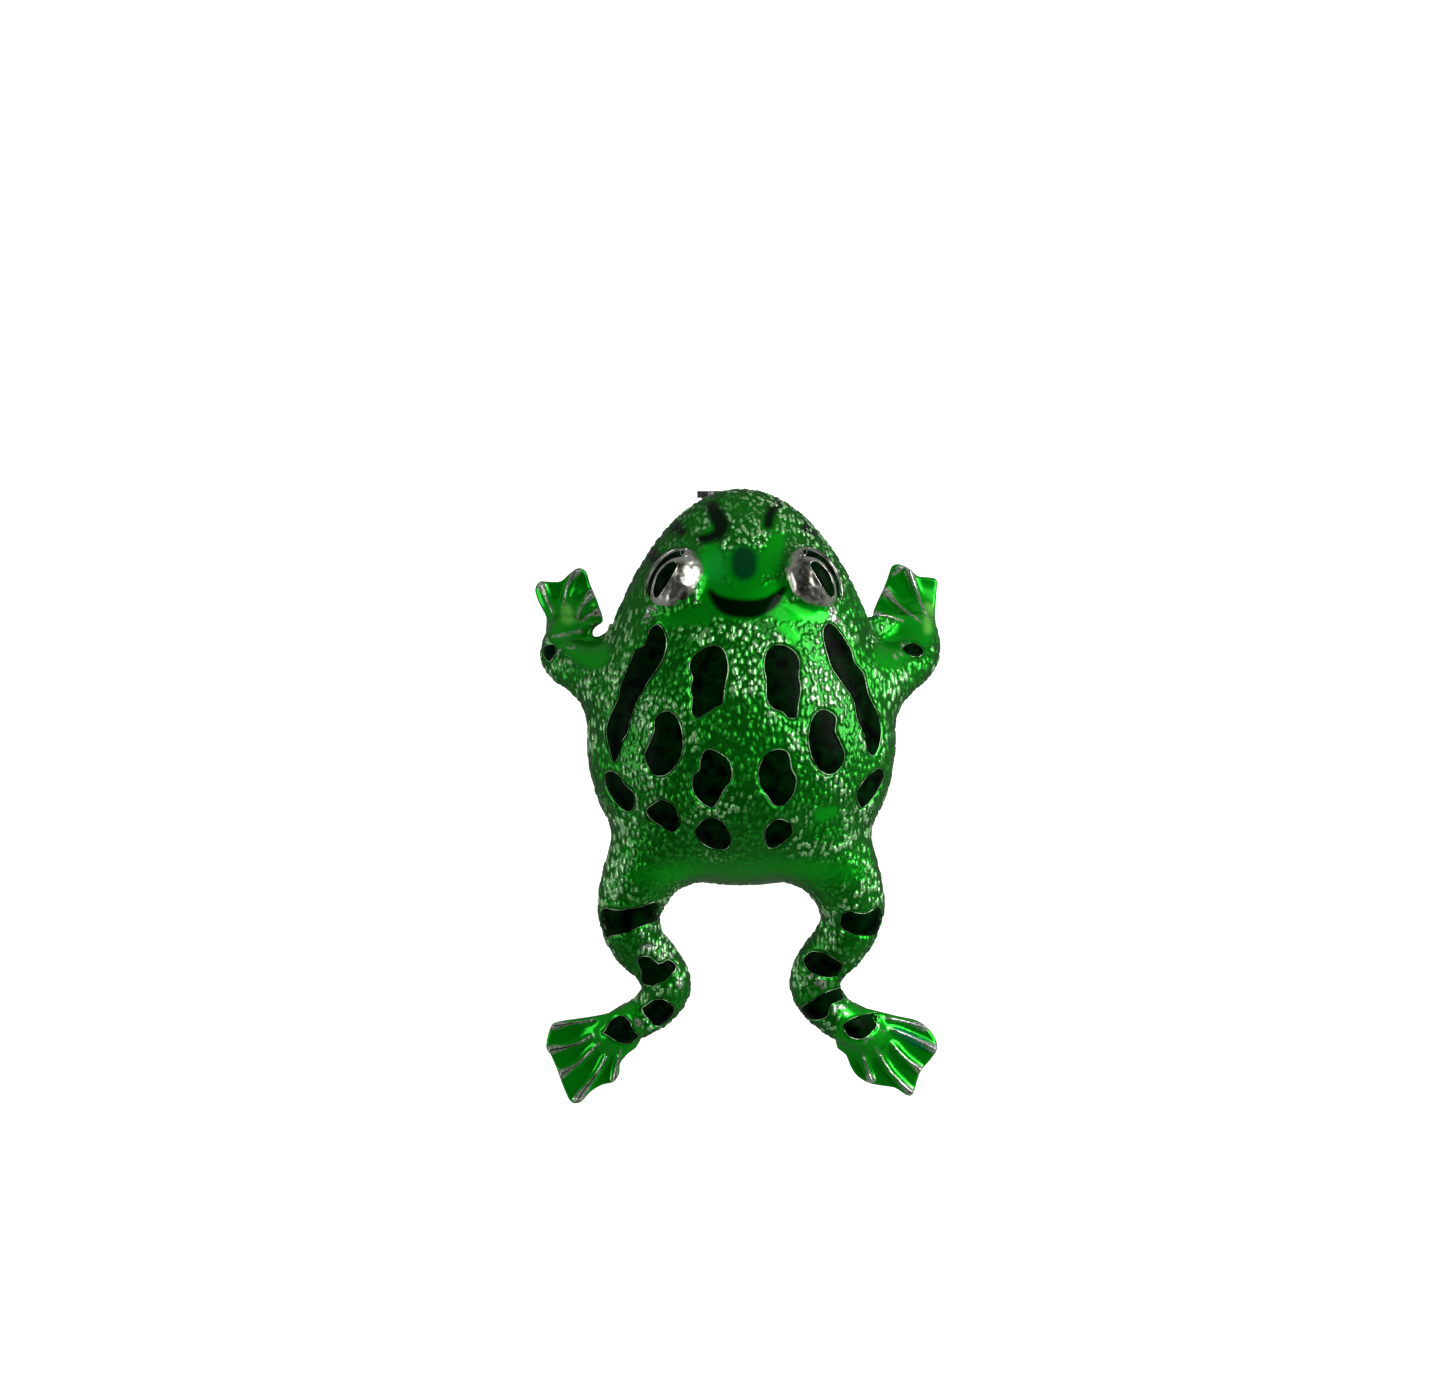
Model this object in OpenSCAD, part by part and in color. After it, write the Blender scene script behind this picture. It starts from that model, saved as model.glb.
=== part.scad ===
// Enamelled silver frog brooch.
// The frog faces +Y, its back is up (+Z), and it stands on its palms and soles at z = 0.
// All sizes are in millimetres.

/* [Body] */
// Greatest half width of the trunk
body_half_w = 13.9; // [13:0.1:14.5]
// Height of the crown of the back above the soles
crown_z = 17.2; // [16:0.1:18]
// Wall of the hollow silver casting
shell_wall = 1; // [0.7:0.1:1.3]
// Thickness of the green enamel
coat_t = 0.35; // [0.25:0.05:0.45]

/* [Pin and catch] */
// Offset of the pin from the frog's centre line
pin_x = -2; // [-2.4:0.1:0]
// Height of the pin's centre above the soles
pin_z = 1.9; // [1.85:0.05:1.95]
// Radius of the pin's shaft
shaft_r = 0.45; // [0.35:0.05:0.5]
// Radius of the hinge rivet
rivet_r = 0.4; // [0.3:0.05:0.45]
// Running clearance of the hinge and of the turning catch, on the radius
running_gap = 0.05; // [0.03:0.01:0.08]

/* [Hidden] */
// Trunk and head, seen from above: the widest place, the tip of the snout and the rump
mid_y = 5.5;
snout_y = 27.9;
rump_y = -7.9;
// Side view: the widest line sinks from mid_z by end_drop at both ends, and the casting ends at floor_z
mid_z = 8;
end_drop = 1.6;
floor_z = 4.2;
tuck_angle = 32;

// Belly plate that closes the casting
plate_t = 0.6;
plate_z = floor_z - plate_t;
vent_r = 0.6;

// Hinge at the rump end of the pin
hinge_y = -3.6;
ear_t = 0.7;
loop_w = 1.3;
side_gap = 0.1;
ear_r = 1.15;
loop_r = 0.95;
hinge_base = [3.6, 3.4, 0.5];
rivet_head_r = 0.65;
rivet_head_t = 0.2;

// Catch at the snout end of the pin: a slotted housing on a strip, and in it a slotted barrel that turns
catch_front_y = 27.8;
housing_length = 2.45;
housing_r = 1.6;
housing_bore_r = 1.2;
barrel_bore_r = 0.72;
slot_w = 1.2;
strip_w = 3.2;
strip_t = 0.3;
strip_back_y = 21.4;
flange_r = 1.35;
flange_t = 0.25;
end_play = 0.05;
lever_t = 0.6;
lever_h = 1.1;
lever_reach = 2;

// Pin: a thicker root, the shaft, a taper, then a thin end that the catch takes
root_r = 0.62;
root_end_y = -1.4;
shaft_end_y = 22.4;
taper_end_y = 23.8;
thin_r = 0.28;
thin_end_y = 26.4;
point_y = 27.3;
point_r = 0.06;

// Colours
silver = [0.78, 0.78, 0.76];
green = [0.02, 0.42, 0.08];
black = [0.02, 0.03, 0.02];
steel = [0.35, 0.37, 0.4];

around = 44;    // points round the trunk's outline
over = 9;       // rings from its widest line to its crown
under = 2;      // rings from its widest line to its floor
limb_sides = 12;
limb_steps = 2; // rings for each span of a limb
blob_fn = 12;
big = 40;

// Limbs as [x, y, z, radius] down each centre line, from inside the trunk to the palm or sole
left_leg_line = [
    [-6.4, -3.2, 8.6, 4.2], [-8.9, -6.6, 7.4, 3.5], [-10.1, -10.1, 6.2, 2.85], [-9.5, -12.9, 5.1, 2.5],
    [-7.8, -14.9, 4.1, 2.25], [-6.8, -17, 3.3, 2.25], [-7.8, -19, 2.6, 1.95], [-9.9, -20.4, 2.1, 1.7],
    [-11.9, -21.7, 1.3, 1.15]];
right_leg_line = [
    [6.4, -3.2, 8.6, 4.2], [8.9, -6.6, 7.4, 3.5], [10, -10.1, 6.2, 2.9], [9.1, -12.9, 5.1, 2.55],
    [7.4, -14.9, 4.1, 2.35], [6.7, -17, 3.3, 2.3], [7.8, -19.1, 2.6, 2], [9.9, -20.7, 2.1, 1.8],
    [11.9, -21.9, 1.3, 1.2]];
left_arm_line = [
    [-10.6, 10.2, 8.2, 3.1], [-13.9, 11.3, 6.8, 2.3], [-16.3, 12.7, 4.9, 1.85], [-16.1, 14.8, 2.8, 1.5],
    [-15.9, 16.6, 1.2, 1]];
right_arm_line = [
    [10.6, 10.2, 8.2, 3.1], [13.8, 11.2, 6.8, 2.3], [16, 12.7, 4.9, 1.85], [16.3, 14.8, 2.8, 1.5],
    [15.9, 16.6, 1.2, 1]];

// Webbed hands and feet: the root they fan from, the palm's radius there, then each toe's tip
left_foot = [[-12.2, -21.9], 1.3, [[-16.4, -20.5], [-17.4, -22.9], [-16.3, -25.2], [-14.9, -27.4], [-12, -25.3]]];
right_foot = [[12.2, -22], 1.3, [[16.3, -20.6], [17.4, -22.9], [16.2, -24.9], [15.1, -27], [11.7, -25.4]]];
left_hand = [[-15.6, 15.4], 1.75, [[-18.1, 19.2], [-14.8, 20.5], [-13.7, 18.7], [-12.9, 16.7]]];
right_hand = [[15.4, 15.5], 1.75, [[17.3, 19.3], [14.3, 20.5], [13.2, 18.8], [12.7, 16.9]]];
rib_r = 0.45;
rib_z = 0.6;
web_t = 0.5;
web_coat_t = 0.3;
web_edge_r = 0.12;
web_dip = 0.93; // how far out the web reaches between two toes
cuff_gap = 0.4;

// Black enamel on the back, each a stroke of circles [x, y, radius]
back_spots = [
    [[-2.9, 12.3, 1.5], [-3, 10.4, 1.65], [-3.1, 8.9, 1.5]],
    [[3.6, 12.2, 1.5], [3.7, 10.4, 1.6], [3.9, 8.7, 1.4]],
    [[-6.8, 6.6, 1.15], [-6.9, 5, 1.4], [-7.3, 3.6, 1.4]],
    [[7.5, 6.7, 1.2], [7.6, 5.1, 1.4], [8, 3.6, 1.35]],
    [[-2.4, 3.1, 1.2], [-2.5, 1.7, 1.65], [-2.8, 0.1, 0.8]],
    [[3.5, 3.2, 1.15], [3.3, 1.7, 1.6], [3.4, 0.1, 0.8]],
    [[-11.6, 1.4, 0.6], [-11, 0.4, 0.95], [-10.3, -0.5, 0.7]],
    [[12, 1.8, 0.65], [11.6, 0.8, 0.95], [11.1, -0.2, 0.7]],
    [[-7.4, -1.2, 0.85], [-6.9, -1.7, 1.1], [-6.3, -2.3, 0.7]],
    [[-3.1, -2.9, 1.15], [-2.7, -3.2, 1.2], [-1.8, -3.9, 0.8]],
    [[3.6, -2.7, 0.95], [3.5, -3.1, 1.15], [3.1, -3.7, 0.7]],
    [[-7.3, 14.8, 0.5], [-8.6, 12, 1.15], [-10.2, 8.4, 1.2], [-11.4, 5.4, 0.9], [-11.5, 3.7, 0.3]],
    [[7.5, 15, 0.5], [9, 12.2, 1], [10.6, 8.8, 1.1], [11.9, 6, 0.95], [12, 4.1, 0.35]]];

// Black bands on the limbs: the height they start at, then the stroke
left_leg_bands = [
    [6, [[-12.6, -12, 0.95], [-10.2, -11.1, 1.3], [-7.8, -10.6, 1]]],
    [4.3, [[-8.5, -15.1, 0.8], [-7.3, -15.6, 1.1], [-5.8, -15.2, 0.75]]],
    [2.7, [[-8.1, -19.2, 1], [-7.3, -19.1, 1.15], [-6.3, -18.8, 0.9]]],
    [1.9, [[-11.2, -20.4, 0.9], [-10.9, -21, 1.15], [-10.1, -21.9, 0.85]]]];
right_leg_bands = [
    [6, [[9.3, -11, 0.85], [10.8, -11.5, 1.15], [12.2, -12.2, 0.8]]],
    [4.3, [[6.3, -14.7, 0.9], [7.4, -15.1, 1.15], [8.7, -15.6, 0.8]]],
    [2.7, [[6.4, -19, 0.9], [7.6, -18.4, 1.15], [8.9, -17.7, 0.8]]],
    [1.9, [[10, -20.4, 0.85], [10.4, -21, 1.1], [11, -21.7, 0.7]]]];
left_arm_bands = [[4.9, [[-17, 13.4, 0.4], [-16.2, 13.7, 0.5], [-15.3, 13.9, 0.35]]]];
right_arm_bands = [[4.9, [[14.7, 13.9, 0.5], [15.7, 13.6, 0.75], [16.6, 13.2, 0.45]]]];

// Eyes: an upright oval whose long axis leans by eye_lean, with the pupil on its outer side
eye_at = [5.9, 19.4, 12.1];
eye_radii = [2.7, 3.2, 2.9];
eye_lean = 24;
pupil_t = 0.3;
pupil_line = [[1.35, -1.7, 0.45], [1.5, 0, 0.75], [1.3, 1.7, 0.4]];

// ---------------------------------------------------------------- trunk surface

// Share of the way from the widest place to the snout (positive) or the rump (negative), 0 to 1
function way(y, inset) = y > mid_y ? (y - mid_y) / (snout_y - inset - mid_y)
    : (y - mid_y) / (mid_y - rump_y - inset);
function half_width(y, inset) = let (t = min(1, abs(way(y, inset))))
    (body_half_w - inset) * (y > mid_y ? pow(1 - pow(t, 1.5), 0.49) : pow(1 - pow(t, 2.2), 1 / 2.2));
function rise(y, inset) = let (t = min(1, abs(way(y, inset))))
    (crown_z - mid_z - inset) * (y > mid_y ? pow(1 - t * t, 0.6) : pow(1 - pow(t, 2.4), 0.5));
function widest_z(y) = let (t = min(1, abs(way(y, 0)))) mid_z - end_drop * t * t;
function back_z(x, y, inset) = let (w = half_width(y, inset))
    widest_z(y) + rise(y, inset) * sqrt(max(0, 1 - (w > 0 ? pow(x / w, 2) : 1)));

// Outline point at a turn of 0 to 360, shrunk towards the middle by share
function outline(turn, inset, share) = let (
    s = sin(turn),
    y = mid_y + (s > 0 ? snout_y - inset - mid_y : mid_y - rump_y - inset) * s,
    side = cos(turn) < 0 ? -1 : 1)
    [side * half_width(y, inset) * share, mid_y + (y - mid_y) * share];

function low_ring(inset, i) = let (a = tuck_angle * (1 - i / under)) [for (k = [0 : around - 1])
    let (p = outline(360 * k / around, inset, cos(a)), q = outline(360 * k / around, inset, 1),
        z = widest_z(q[1]))
    [p[0], p[1], z - (z - floor_z) * sin(a) / sin(tuck_angle)]];
function high_ring(inset, i) = let (share = cos(90 * i / over)) [for (k = [0 : around - 1])
    let (p = outline(360 * k / around, inset, share)) [p[0], p[1], back_z(p[0], p[1], inset)]];
function dome(inset) = [
    for (i = [0 : under]) each low_ring(inset, i),
    for (i = [1 : over - 1]) each high_ring(inset, i),
    [0, mid_y, back_z(0, mid_y, inset)]];

rings = under + over;
pole = rings * around;

// Triangles of one dome surface, with start as its first point; flip turns them inside out
function turned(t, flip) = flip ? [t[0], t[2], t[1]] : t;
function dome_faces(start, flip) = [
    for (i = [0 : rings - 2], k = [0 : around - 1])
        let (a = start + i * around + k, b = start + i * around + (k + 1) % around)
        each [turned([a, a + around, b], flip), turned([b, a + around, b + around], flip)],
    for (k = [0 : around - 1])
        let (a = start + (rings - 1) * around + k, b = start + (rings - 1) * around + (k + 1) % around)
        turned([a, start + pole, b], flip)];
function rim_faces(start) = [
    for (k = [0 : around - 1]) let (j = (k + 1) % around)
        each [[k, j, start + k], [j, start + j, start + k]]];

// Solid egg at an inset, flat below
module egg(inset) {
    polyhedron(points = dome(inset),
        faces = concat(dome_faces(0, false), [[for (k = [0 : around - 1]) k]]), convexity = 4);
}

// Layer of the trunk's surface between two insets, open below
module trunk_layer(outer, inner) {
    first = pole + 1;
    polyhedron(points = concat(dome(outer), dome(inner)),
        faces = concat(dome_faces(0, false), dome_faces(first, true), rim_faces(first)), convexity = 6);
}

// ---------------------------------------------------------------- strokes and limbs

// Smooth curve through rows of numbers, at place u of 0 to len - 1
function row_at(p, i) = p[max(0, min(len(p) - 1, i))];
function curve(p, u) = let (i = min(len(p) - 2, floor(u)), t = u - i,
    a = row_at(p, i - 1), b = row_at(p, i), c = row_at(p, i + 1), d = row_at(p, i + 2))
    0.5 * (2 * b + (c - a) * t + (2 * a - 5 * b + 4 * c - d) * t * t + (3 * b - a - 3 * c + d) * t * t * t);

// Upright prism over a stroke of circles, from z up
module stroke_prism(line, z = mid_z, steps = 5) {
    last = len(line) - 1;
    for (i = [0 : steps - 1])
        hull() for (j = [i, i + 1]) {
            c = curve(line, last * j / steps);
            translate([c[0], c[1], z]) cylinder(r = c[2], h = big, $fn = blob_fn);
        }
}

function unit(v) = v / norm(v);
function xyz(row) = [row[0], row[1], row[2]];

// Ring of a limb at place u, thinner by inset
function limb_ring(line, u, inset) = let (
    row = curve(line, u),
    ahead = unit(xyz(curve(line, min(len(line) - 1, u + 0.05))) - xyz(curve(line, max(0, u - 0.05)))),
    side = unit(cross(ahead, [0, 0, 1])), up = cross(side, ahead), r = row[3] - inset)
    [for (k = [0 : limb_sides - 1]) let (a = 360 * k / limb_sides)
        xyz(row) + side * r * cos(a) + up * r * sin(a)];
function limb_points(line, inset) = let (n = (len(line) - 1) * limb_steps)
    [for (i = [0 : n]) each limb_ring(line, (len(line) - 1) * i / n, inset)];
function tube_faces(n, start, flip) = [
    for (i = [0 : n - 1], k = [0 : limb_sides - 1])
        let (a = start + i * limb_sides + k, b = start + i * limb_sides + (k + 1) % limb_sides)
        each [turned([a, b, a + limb_sides], flip), turned([b, b + limb_sides, a + limb_sides], flip)]];

// Solid limb, thinner by inset
module limb(line, inset) {
    n = (len(line) - 1) * limb_steps;
    polyhedron(points = limb_points(line, inset), faces = concat(tube_faces(n, 0, false),
        [[for (k = [limb_sides - 1 : -1 : 0]) k]],
        [[for (k = [0 : limb_sides - 1]) n * limb_sides + k]]), convexity = 6);
}

// Webbed hand or foot: ribs from its root to each toe, with thin webs between them
module ribs(fan) {
    translate([0, 0, rib_z]) linear_extrude(2 * rib_r, center = true)
        for (toe = fan[2]) hull() for (p = [fan[0], toe]) translate(p) circle(r = rib_r, $fn = 10);
}
module webs(fan, z, t) {
    root = fan[0];
    toes = fan[2];
    translate([0, 0, z]) linear_extrude(t) for (i = [0 : len(toes) - 2]) {
        dip = root + ((toes[i] + toes[i + 1]) / 2 - root) * web_dip;
        for (toe = [toes[i], toes[i + 1]]) hull() {
            translate(root) circle(r = fan[1], $fn = 16);
            for (p = [toe, dip]) translate(p) circle(r = web_edge_r, $fn = 8);
        }
    }
}

// Silver casting of a limb with its hand or foot, cut to sit on the trunk
module limb_casting(line, fan) {
    color(silver) difference() {
        union() {
            limb(line, coat_t);
            ribs(fan);
            webs(fan, 0, web_t);
        }
        egg(coat_t);
    }
}

// Green enamel round a limb, left off at its black bands and ending at a cuff round its palm or sole
module limb_enamel(line, bands, fan) {
    color(green) difference() {
        limb(line, 0);
        limb(line, coat_t);
        egg(0);
        for (band = bands) stroke_prism(band[1], band[0]);
        translate([fan[0][0], fan[0][1], -1]) cylinder(r = fan[1] + cuff_gap, h = big, $fn = 24);
    }
}

// One black band in a limb's enamel
module limb_band(line, band) {
    color(black) intersection() {
        difference() {
            limb(line, 0);
            limb(line, coat_t);
            egg(0);
        }
        stroke_prism(band[1], band[0]);
    }
}

// Green enamel on the webs of a hand or foot, between its ribs
module web_enamel(line, fan) {
    color(green) difference() {
        webs(fan, web_t, web_coat_t);
        ribs(fan);
        limb(line, 0);
    }
}

// ---------------------------------------------------------------- trunk pieces

module body_shell() {
    color(silver) trunk_layer(coat_t, coat_t + shell_wall);
}

module belly_outline() {
    polygon([for (k = [0 : around - 1]) outline(360 * k / around, coat_t, cos(tuck_angle))]);
}

module belly_plate() {
    color(silver) difference() {
        translate([0, 0, plate_z]) linear_extrude(plate_t) belly_outline();
        translate([3.5, mid_y, plate_z - 1]) cylinder(r = vent_r, h = plate_t + 2, $fn = 32);
    }
}

module back_enamel() {
    color(green) difference() {
        trunk_layer(0, coat_t);
        for (line = back_spots) stroke_prism(line);
        for (side = [-1, 1]) eye_ball(side);
        for (line = [left_leg_line, right_leg_line, left_arm_line, right_arm_line]) limb(line, coat_t);
    }
}

module back_spot(line) {
    color(black) intersection() {
        trunk_layer(0, coat_t);
        stroke_prism(line);
    }
}

// ---------------------------------------------------------------- eyes

module at_eye(side) {
    translate([side * eye_at[0], eye_at[1], eye_at[2]]) rotate([0, 0, side * eye_lean])
        scale([side, 1, 1]) children();
}
module eye_ball(side, less = 0) {
    at_eye(side) hull() scale(eye_radii - [less, less, less]) sphere(r = 1, $fn = 20);
}
module pupil_recess(side) {
    difference() {
        at_eye(side) stroke_prism(pupil_line, 0);
        eye_ball(side, pupil_t);
    }
}
module eye(side) {
    color(silver) difference() {
        eye_ball(side);
        egg(coat_t);
        pupil_recess(side);
    }
}
module pupil(side) {
    color(black) intersection() {
        eye_ball(side);
        pupil_recess(side);
    }
}

// ---------------------------------------------------------------- hinge, pin and catch

// Lays a cylinder along X or Y
module along_x() { rotate([0, 90, 0]) children(); }
module along_y() { rotate([-90, 0, 0]) children(); }

module hinge_base_part() {
    gap_half = loop_w / 2 + side_gap;
    color(steel) difference() {
        union() {
            translate([pin_x - hinge_base[0] / 2, hinge_y - hinge_base[1] / 2, plate_z - hinge_base[2]])
                cube(hinge_base);
            for (side = [-1, 1]) translate([pin_x + side * (gap_half + ear_t / 2), hinge_y, pin_z]) {
                along_x() cylinder(r = ear_r, h = ear_t, center = true, $fn = 48);
                translate([-ear_t / 2, -ear_r, 0]) cube([ear_t, 2 * ear_r, plate_z - pin_z - 0.1]);
            }
        }
        translate([pin_x, hinge_y, pin_z]) along_x() cylinder(r = rivet_r, h = 10, center = true, $fn = 48);
    }
}

module hinge_rivet() {
    reach = loop_w / 2 + side_gap + ear_t;
    color(steel) translate([pin_x, hinge_y, pin_z]) along_x() {
        cylinder(r = rivet_r, h = 2 * reach, center = true, $fn = 48);
        for (side = [-1, 1]) translate([0, 0, side * (reach + rivet_head_t / 2)])
            cylinder(r = rivet_head_r, h = rivet_head_t, center = true, $fn = 48);
    }
}

module pin_stem() {
    color(steel) translate([pin_x, hinge_y, pin_z]) difference() {
        union() {
            along_x() cylinder(r = loop_r, h = loop_w, center = true, $fn = 48);
            along_y() {
                cylinder(r = root_r, h = root_end_y - hinge_y, $fn = 32);
                cylinder(r = shaft_r, h = shaft_end_y - hinge_y, $fn = 32);
                translate([0, 0, shaft_end_y - hinge_y])
                    cylinder(r1 = shaft_r, r2 = thin_r, h = taper_end_y - shaft_end_y, $fn = 32);
                translate([0, 0, taper_end_y - hinge_y])
                    cylinder(r = thin_r, h = thin_end_y - taper_end_y, $fn = 32);
                translate([0, 0, thin_end_y - hinge_y])
                    cylinder(r1 = thin_r, r2 = point_r, h = point_y - thin_end_y, $fn = 32);
            }
        }
        along_x() cylinder(r = rivet_r + running_gap, h = 4, center = true, $fn = 48);
    }
}

catch_length = flange_t + end_play + housing_length + end_play + lever_t;
catch_back_y = catch_front_y - catch_length;
housing_back_y = catch_back_y + flange_t + end_play;
strip_length = housing_back_y + housing_length - strip_back_y;
cut = 9; // longer than anything it cuts

module catch_housing() {
    color(steel) difference() {
        union() {
            translate([pin_x, housing_back_y, pin_z]) along_y()
                cylinder(r = housing_r, h = housing_length, $fn = 64);
            translate([pin_x - strip_w / 2, strip_back_y, plate_z - strip_t])
                cube([strip_w, strip_length, strip_t]);
        }
        translate([pin_x, housing_back_y - 1, pin_z]) along_y()
            cylinder(r = housing_bore_r, h = cut, $fn = 64);
        translate([pin_x - slot_w / 2, housing_back_y - 1, pin_z - 3]) cube([slot_w, cut, 3]);
    }
}

module catch_barrel() {
    barrel_r = housing_bore_r - running_gap;
    color(steel) translate([pin_x, catch_back_y, pin_z]) difference() {
        union() {
            along_y() cylinder(r = barrel_r, h = catch_length, $fn = 64);
            along_y() cylinder(r = flange_r, h = flange_t, $fn = 64);
            translate([-lever_reach, catch_length - lever_t, -lever_h / 2])
                cube([lever_reach, lever_t, lever_h]);
        }
        translate([0, -1, 0]) along_y() cylinder(r = barrel_bore_r, h = cut, $fn = 48);
        translate([-slot_w / 2, -1, -3]) cube([slot_w, cut, 3]);
    }
}

// ---------------------------------------------------------------- the nodes

body_shell();
belly_plate();
limb_casting(left_arm_line, left_hand);  // left_arm
limb_casting(right_arm_line, right_hand);  // right_arm
limb_casting(left_leg_line, left_foot);  // left_hind_leg
limb_casting(right_leg_line, right_foot);  // right_hind_leg
eye(-1);  // left_eye
eye(1);  // right_eye
pupil(-1);  // left_pupil
pupil(1);  // right_pupil
back_enamel();
limb_enamel(left_arm_line, left_arm_bands, left_hand);  // left_arm_enamel
limb_enamel(right_arm_line, right_arm_bands, right_hand);  // right_arm_enamel
limb_enamel(left_leg_line, left_leg_bands, left_foot);  // left_leg_enamel
limb_enamel(right_leg_line, right_leg_bands, right_foot);  // right_leg_enamel
web_enamel(left_arm_line, left_hand);  // left_hand_webs
web_enamel(right_arm_line, right_hand);  // right_hand_webs
web_enamel(left_leg_line, left_foot);  // left_foot_webs
web_enamel(right_leg_line, right_foot);  // right_foot_webs
for (i = [1 : len(back_spots)])
    back_spot(back_spots[i - 1]);
for (i = [1 : 4]) {
    limb_band(left_leg_line, left_leg_bands[i - 1]);
    limb_band(right_leg_line, right_leg_bands[i - 1]);
}
limb_band(left_arm_line, left_arm_bands[0]);  // left_arm_band_1
limb_band(right_arm_line, right_arm_bands[0]);  // right_arm_band_1
hinge_base_part();  // hinge_base
hinge_rivet();
pin_stem();
catch_housing();
catch_barrel();
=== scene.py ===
"""Looks of the enamelled silver frog brooch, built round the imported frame.

The frog's skin is one smooth field of distances: trunk, limbs, hands and feet flow into each other as in
the casting. It is meshed once, grained, then parted into the pieces that the casting has. Lengths in this
file are millimetres until a mesh is made.
"""
import math

import bpy
import numpy as np
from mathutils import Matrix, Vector
from mathutils.kdtree import KDTree


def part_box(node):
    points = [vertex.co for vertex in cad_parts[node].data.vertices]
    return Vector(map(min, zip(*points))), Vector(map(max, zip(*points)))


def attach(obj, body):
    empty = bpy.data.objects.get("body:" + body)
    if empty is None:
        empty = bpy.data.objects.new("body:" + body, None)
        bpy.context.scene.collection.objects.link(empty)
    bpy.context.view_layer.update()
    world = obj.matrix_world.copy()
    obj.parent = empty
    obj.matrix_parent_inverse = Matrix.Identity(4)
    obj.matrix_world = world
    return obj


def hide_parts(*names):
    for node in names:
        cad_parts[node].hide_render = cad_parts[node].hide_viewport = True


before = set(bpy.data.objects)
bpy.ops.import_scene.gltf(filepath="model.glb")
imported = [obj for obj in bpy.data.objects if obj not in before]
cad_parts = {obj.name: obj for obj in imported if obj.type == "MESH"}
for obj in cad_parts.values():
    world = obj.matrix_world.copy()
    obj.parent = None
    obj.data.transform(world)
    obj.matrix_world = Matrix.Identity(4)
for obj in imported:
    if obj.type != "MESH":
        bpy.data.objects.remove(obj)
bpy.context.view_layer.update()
MM = 0.001

# ------------------------ sizes taken from the frame


def node_box(name):
    """Lowest and highest corner of a CAD node, in millimetres."""
    lo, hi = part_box(name)
    return np.array(lo) / MM, np.array(hi) / MM


COAT_LO, COAT_HI = node_box("back_enamel")
HALF_W = (COAT_HI[0] - COAT_LO[0]) / 2
SNOUT_Y, RUMP_Y = COAT_HI[1], COAT_LO[1]
CROWN_Z, FLOOR_Z = COAT_HI[2], COAT_LO[2]
MID_Y = RUMP_Y + 0.3743 * (SNOUT_Y - RUMP_Y)
MID_Z = FLOOR_Z + 3.8
END_DROP = 1.6
SIN_TUCK = math.sin(math.radians(32))

PITCH = 0.145          # spacing of the skin's mesh
GRAIN_PITCH = 0.52     # spacing of the cast grain
GRAIN_H = 0.1          # its height

# Centre lines as [x, y, z, radius], from inside the trunk to the palm or sole
LEFT_LEG = [
    [-6.4, -3.2, 8.6, 4.2], [-8.9, -6.6, 7.4, 3.5], [-10.1, -10.1, 6.2, 2.85], [-9.5, -12.9, 5.1, 2.5],
    [-7.8, -14.9, 4.1, 2.25], [-6.8, -17, 3.3, 2.25], [-7.8, -19, 2.6, 1.95], [-9.9, -20.4, 2.1, 1.7],
    [-11.9, -21.7, 1.3, 1.15]]
RIGHT_LEG = [
    [6.4, -3.2, 8.6, 4.2], [8.9, -6.6, 7.4, 3.5], [10, -10.1, 6.2, 2.9], [9.1, -12.9, 5.1, 2.55],
    [7.4, -14.9, 4.1, 2.35], [6.7, -17, 3.3, 2.3], [7.8, -19.1, 2.6, 2], [9.9, -20.7, 2.1, 1.8],
    [11.9, -21.9, 1.3, 1.2]]
LEFT_ARM = [
    [-10.6, 10.2, 8.2, 3.1], [-13.9, 11.3, 6.8, 2.3], [-16.3, 12.7, 4.9, 1.85], [-16.1, 14.8, 2.8, 1.5],
    [-15.9, 16.6, 1.2, 1]]
RIGHT_ARM = [
    [10.6, 10.2, 8.2, 3.1], [13.8, 11.2, 6.8, 2.3], [16, 12.7, 4.9, 1.85], [16.3, 14.8, 2.8, 1.5],
    [15.9, 16.6, 1.2, 1]]
LIMBS = {"left_arm": LEFT_ARM, "right_arm": RIGHT_ARM,
         "left_hind_leg": LEFT_LEG, "right_hind_leg": RIGHT_LEG}
# Webbed hands and feet from above: outline, the toes' ridges from the palm outwards, and the place
# and height of the swelling where the limb comes in
LEFT_FOOT = {
    "outline": [
        (-9.9, -18.8), (-12, -19.6), (-14, -20), (-16.6, -20.4), (-17.35, -20.9), (-17.75, -22.7),
        (-17.3, -23.5), (-16.7, -24.9), (-16.2, -26.3), (-15.5, -27.7), (-14.6, -27.75), (-13.7, -26.8),
        (-12.6, -26.15), (-11.7, -25.95), (-11.1, -25.2), (-11, -24.2), (-10.3, -23.3), (-9.3, -22.2)],
    "ribs": [
        [(-13, -20.2), (-15, -20.5), (-17.1, -20.8)], [(-13.3, -21.5), (-15.1, -22.5), (-17.4, -23)],
        [(-12.9, -22.3), (-14.7, -24.1), (-16.4, -25.2)], [(-12, -23), (-13, -24.9), (-14.9, -27.5)],
        [(-10.9, -23), (-11.3, -24.4), (-11.5, -25.7)]],
    "root": (-11, -21), "high": 2.2}
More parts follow.
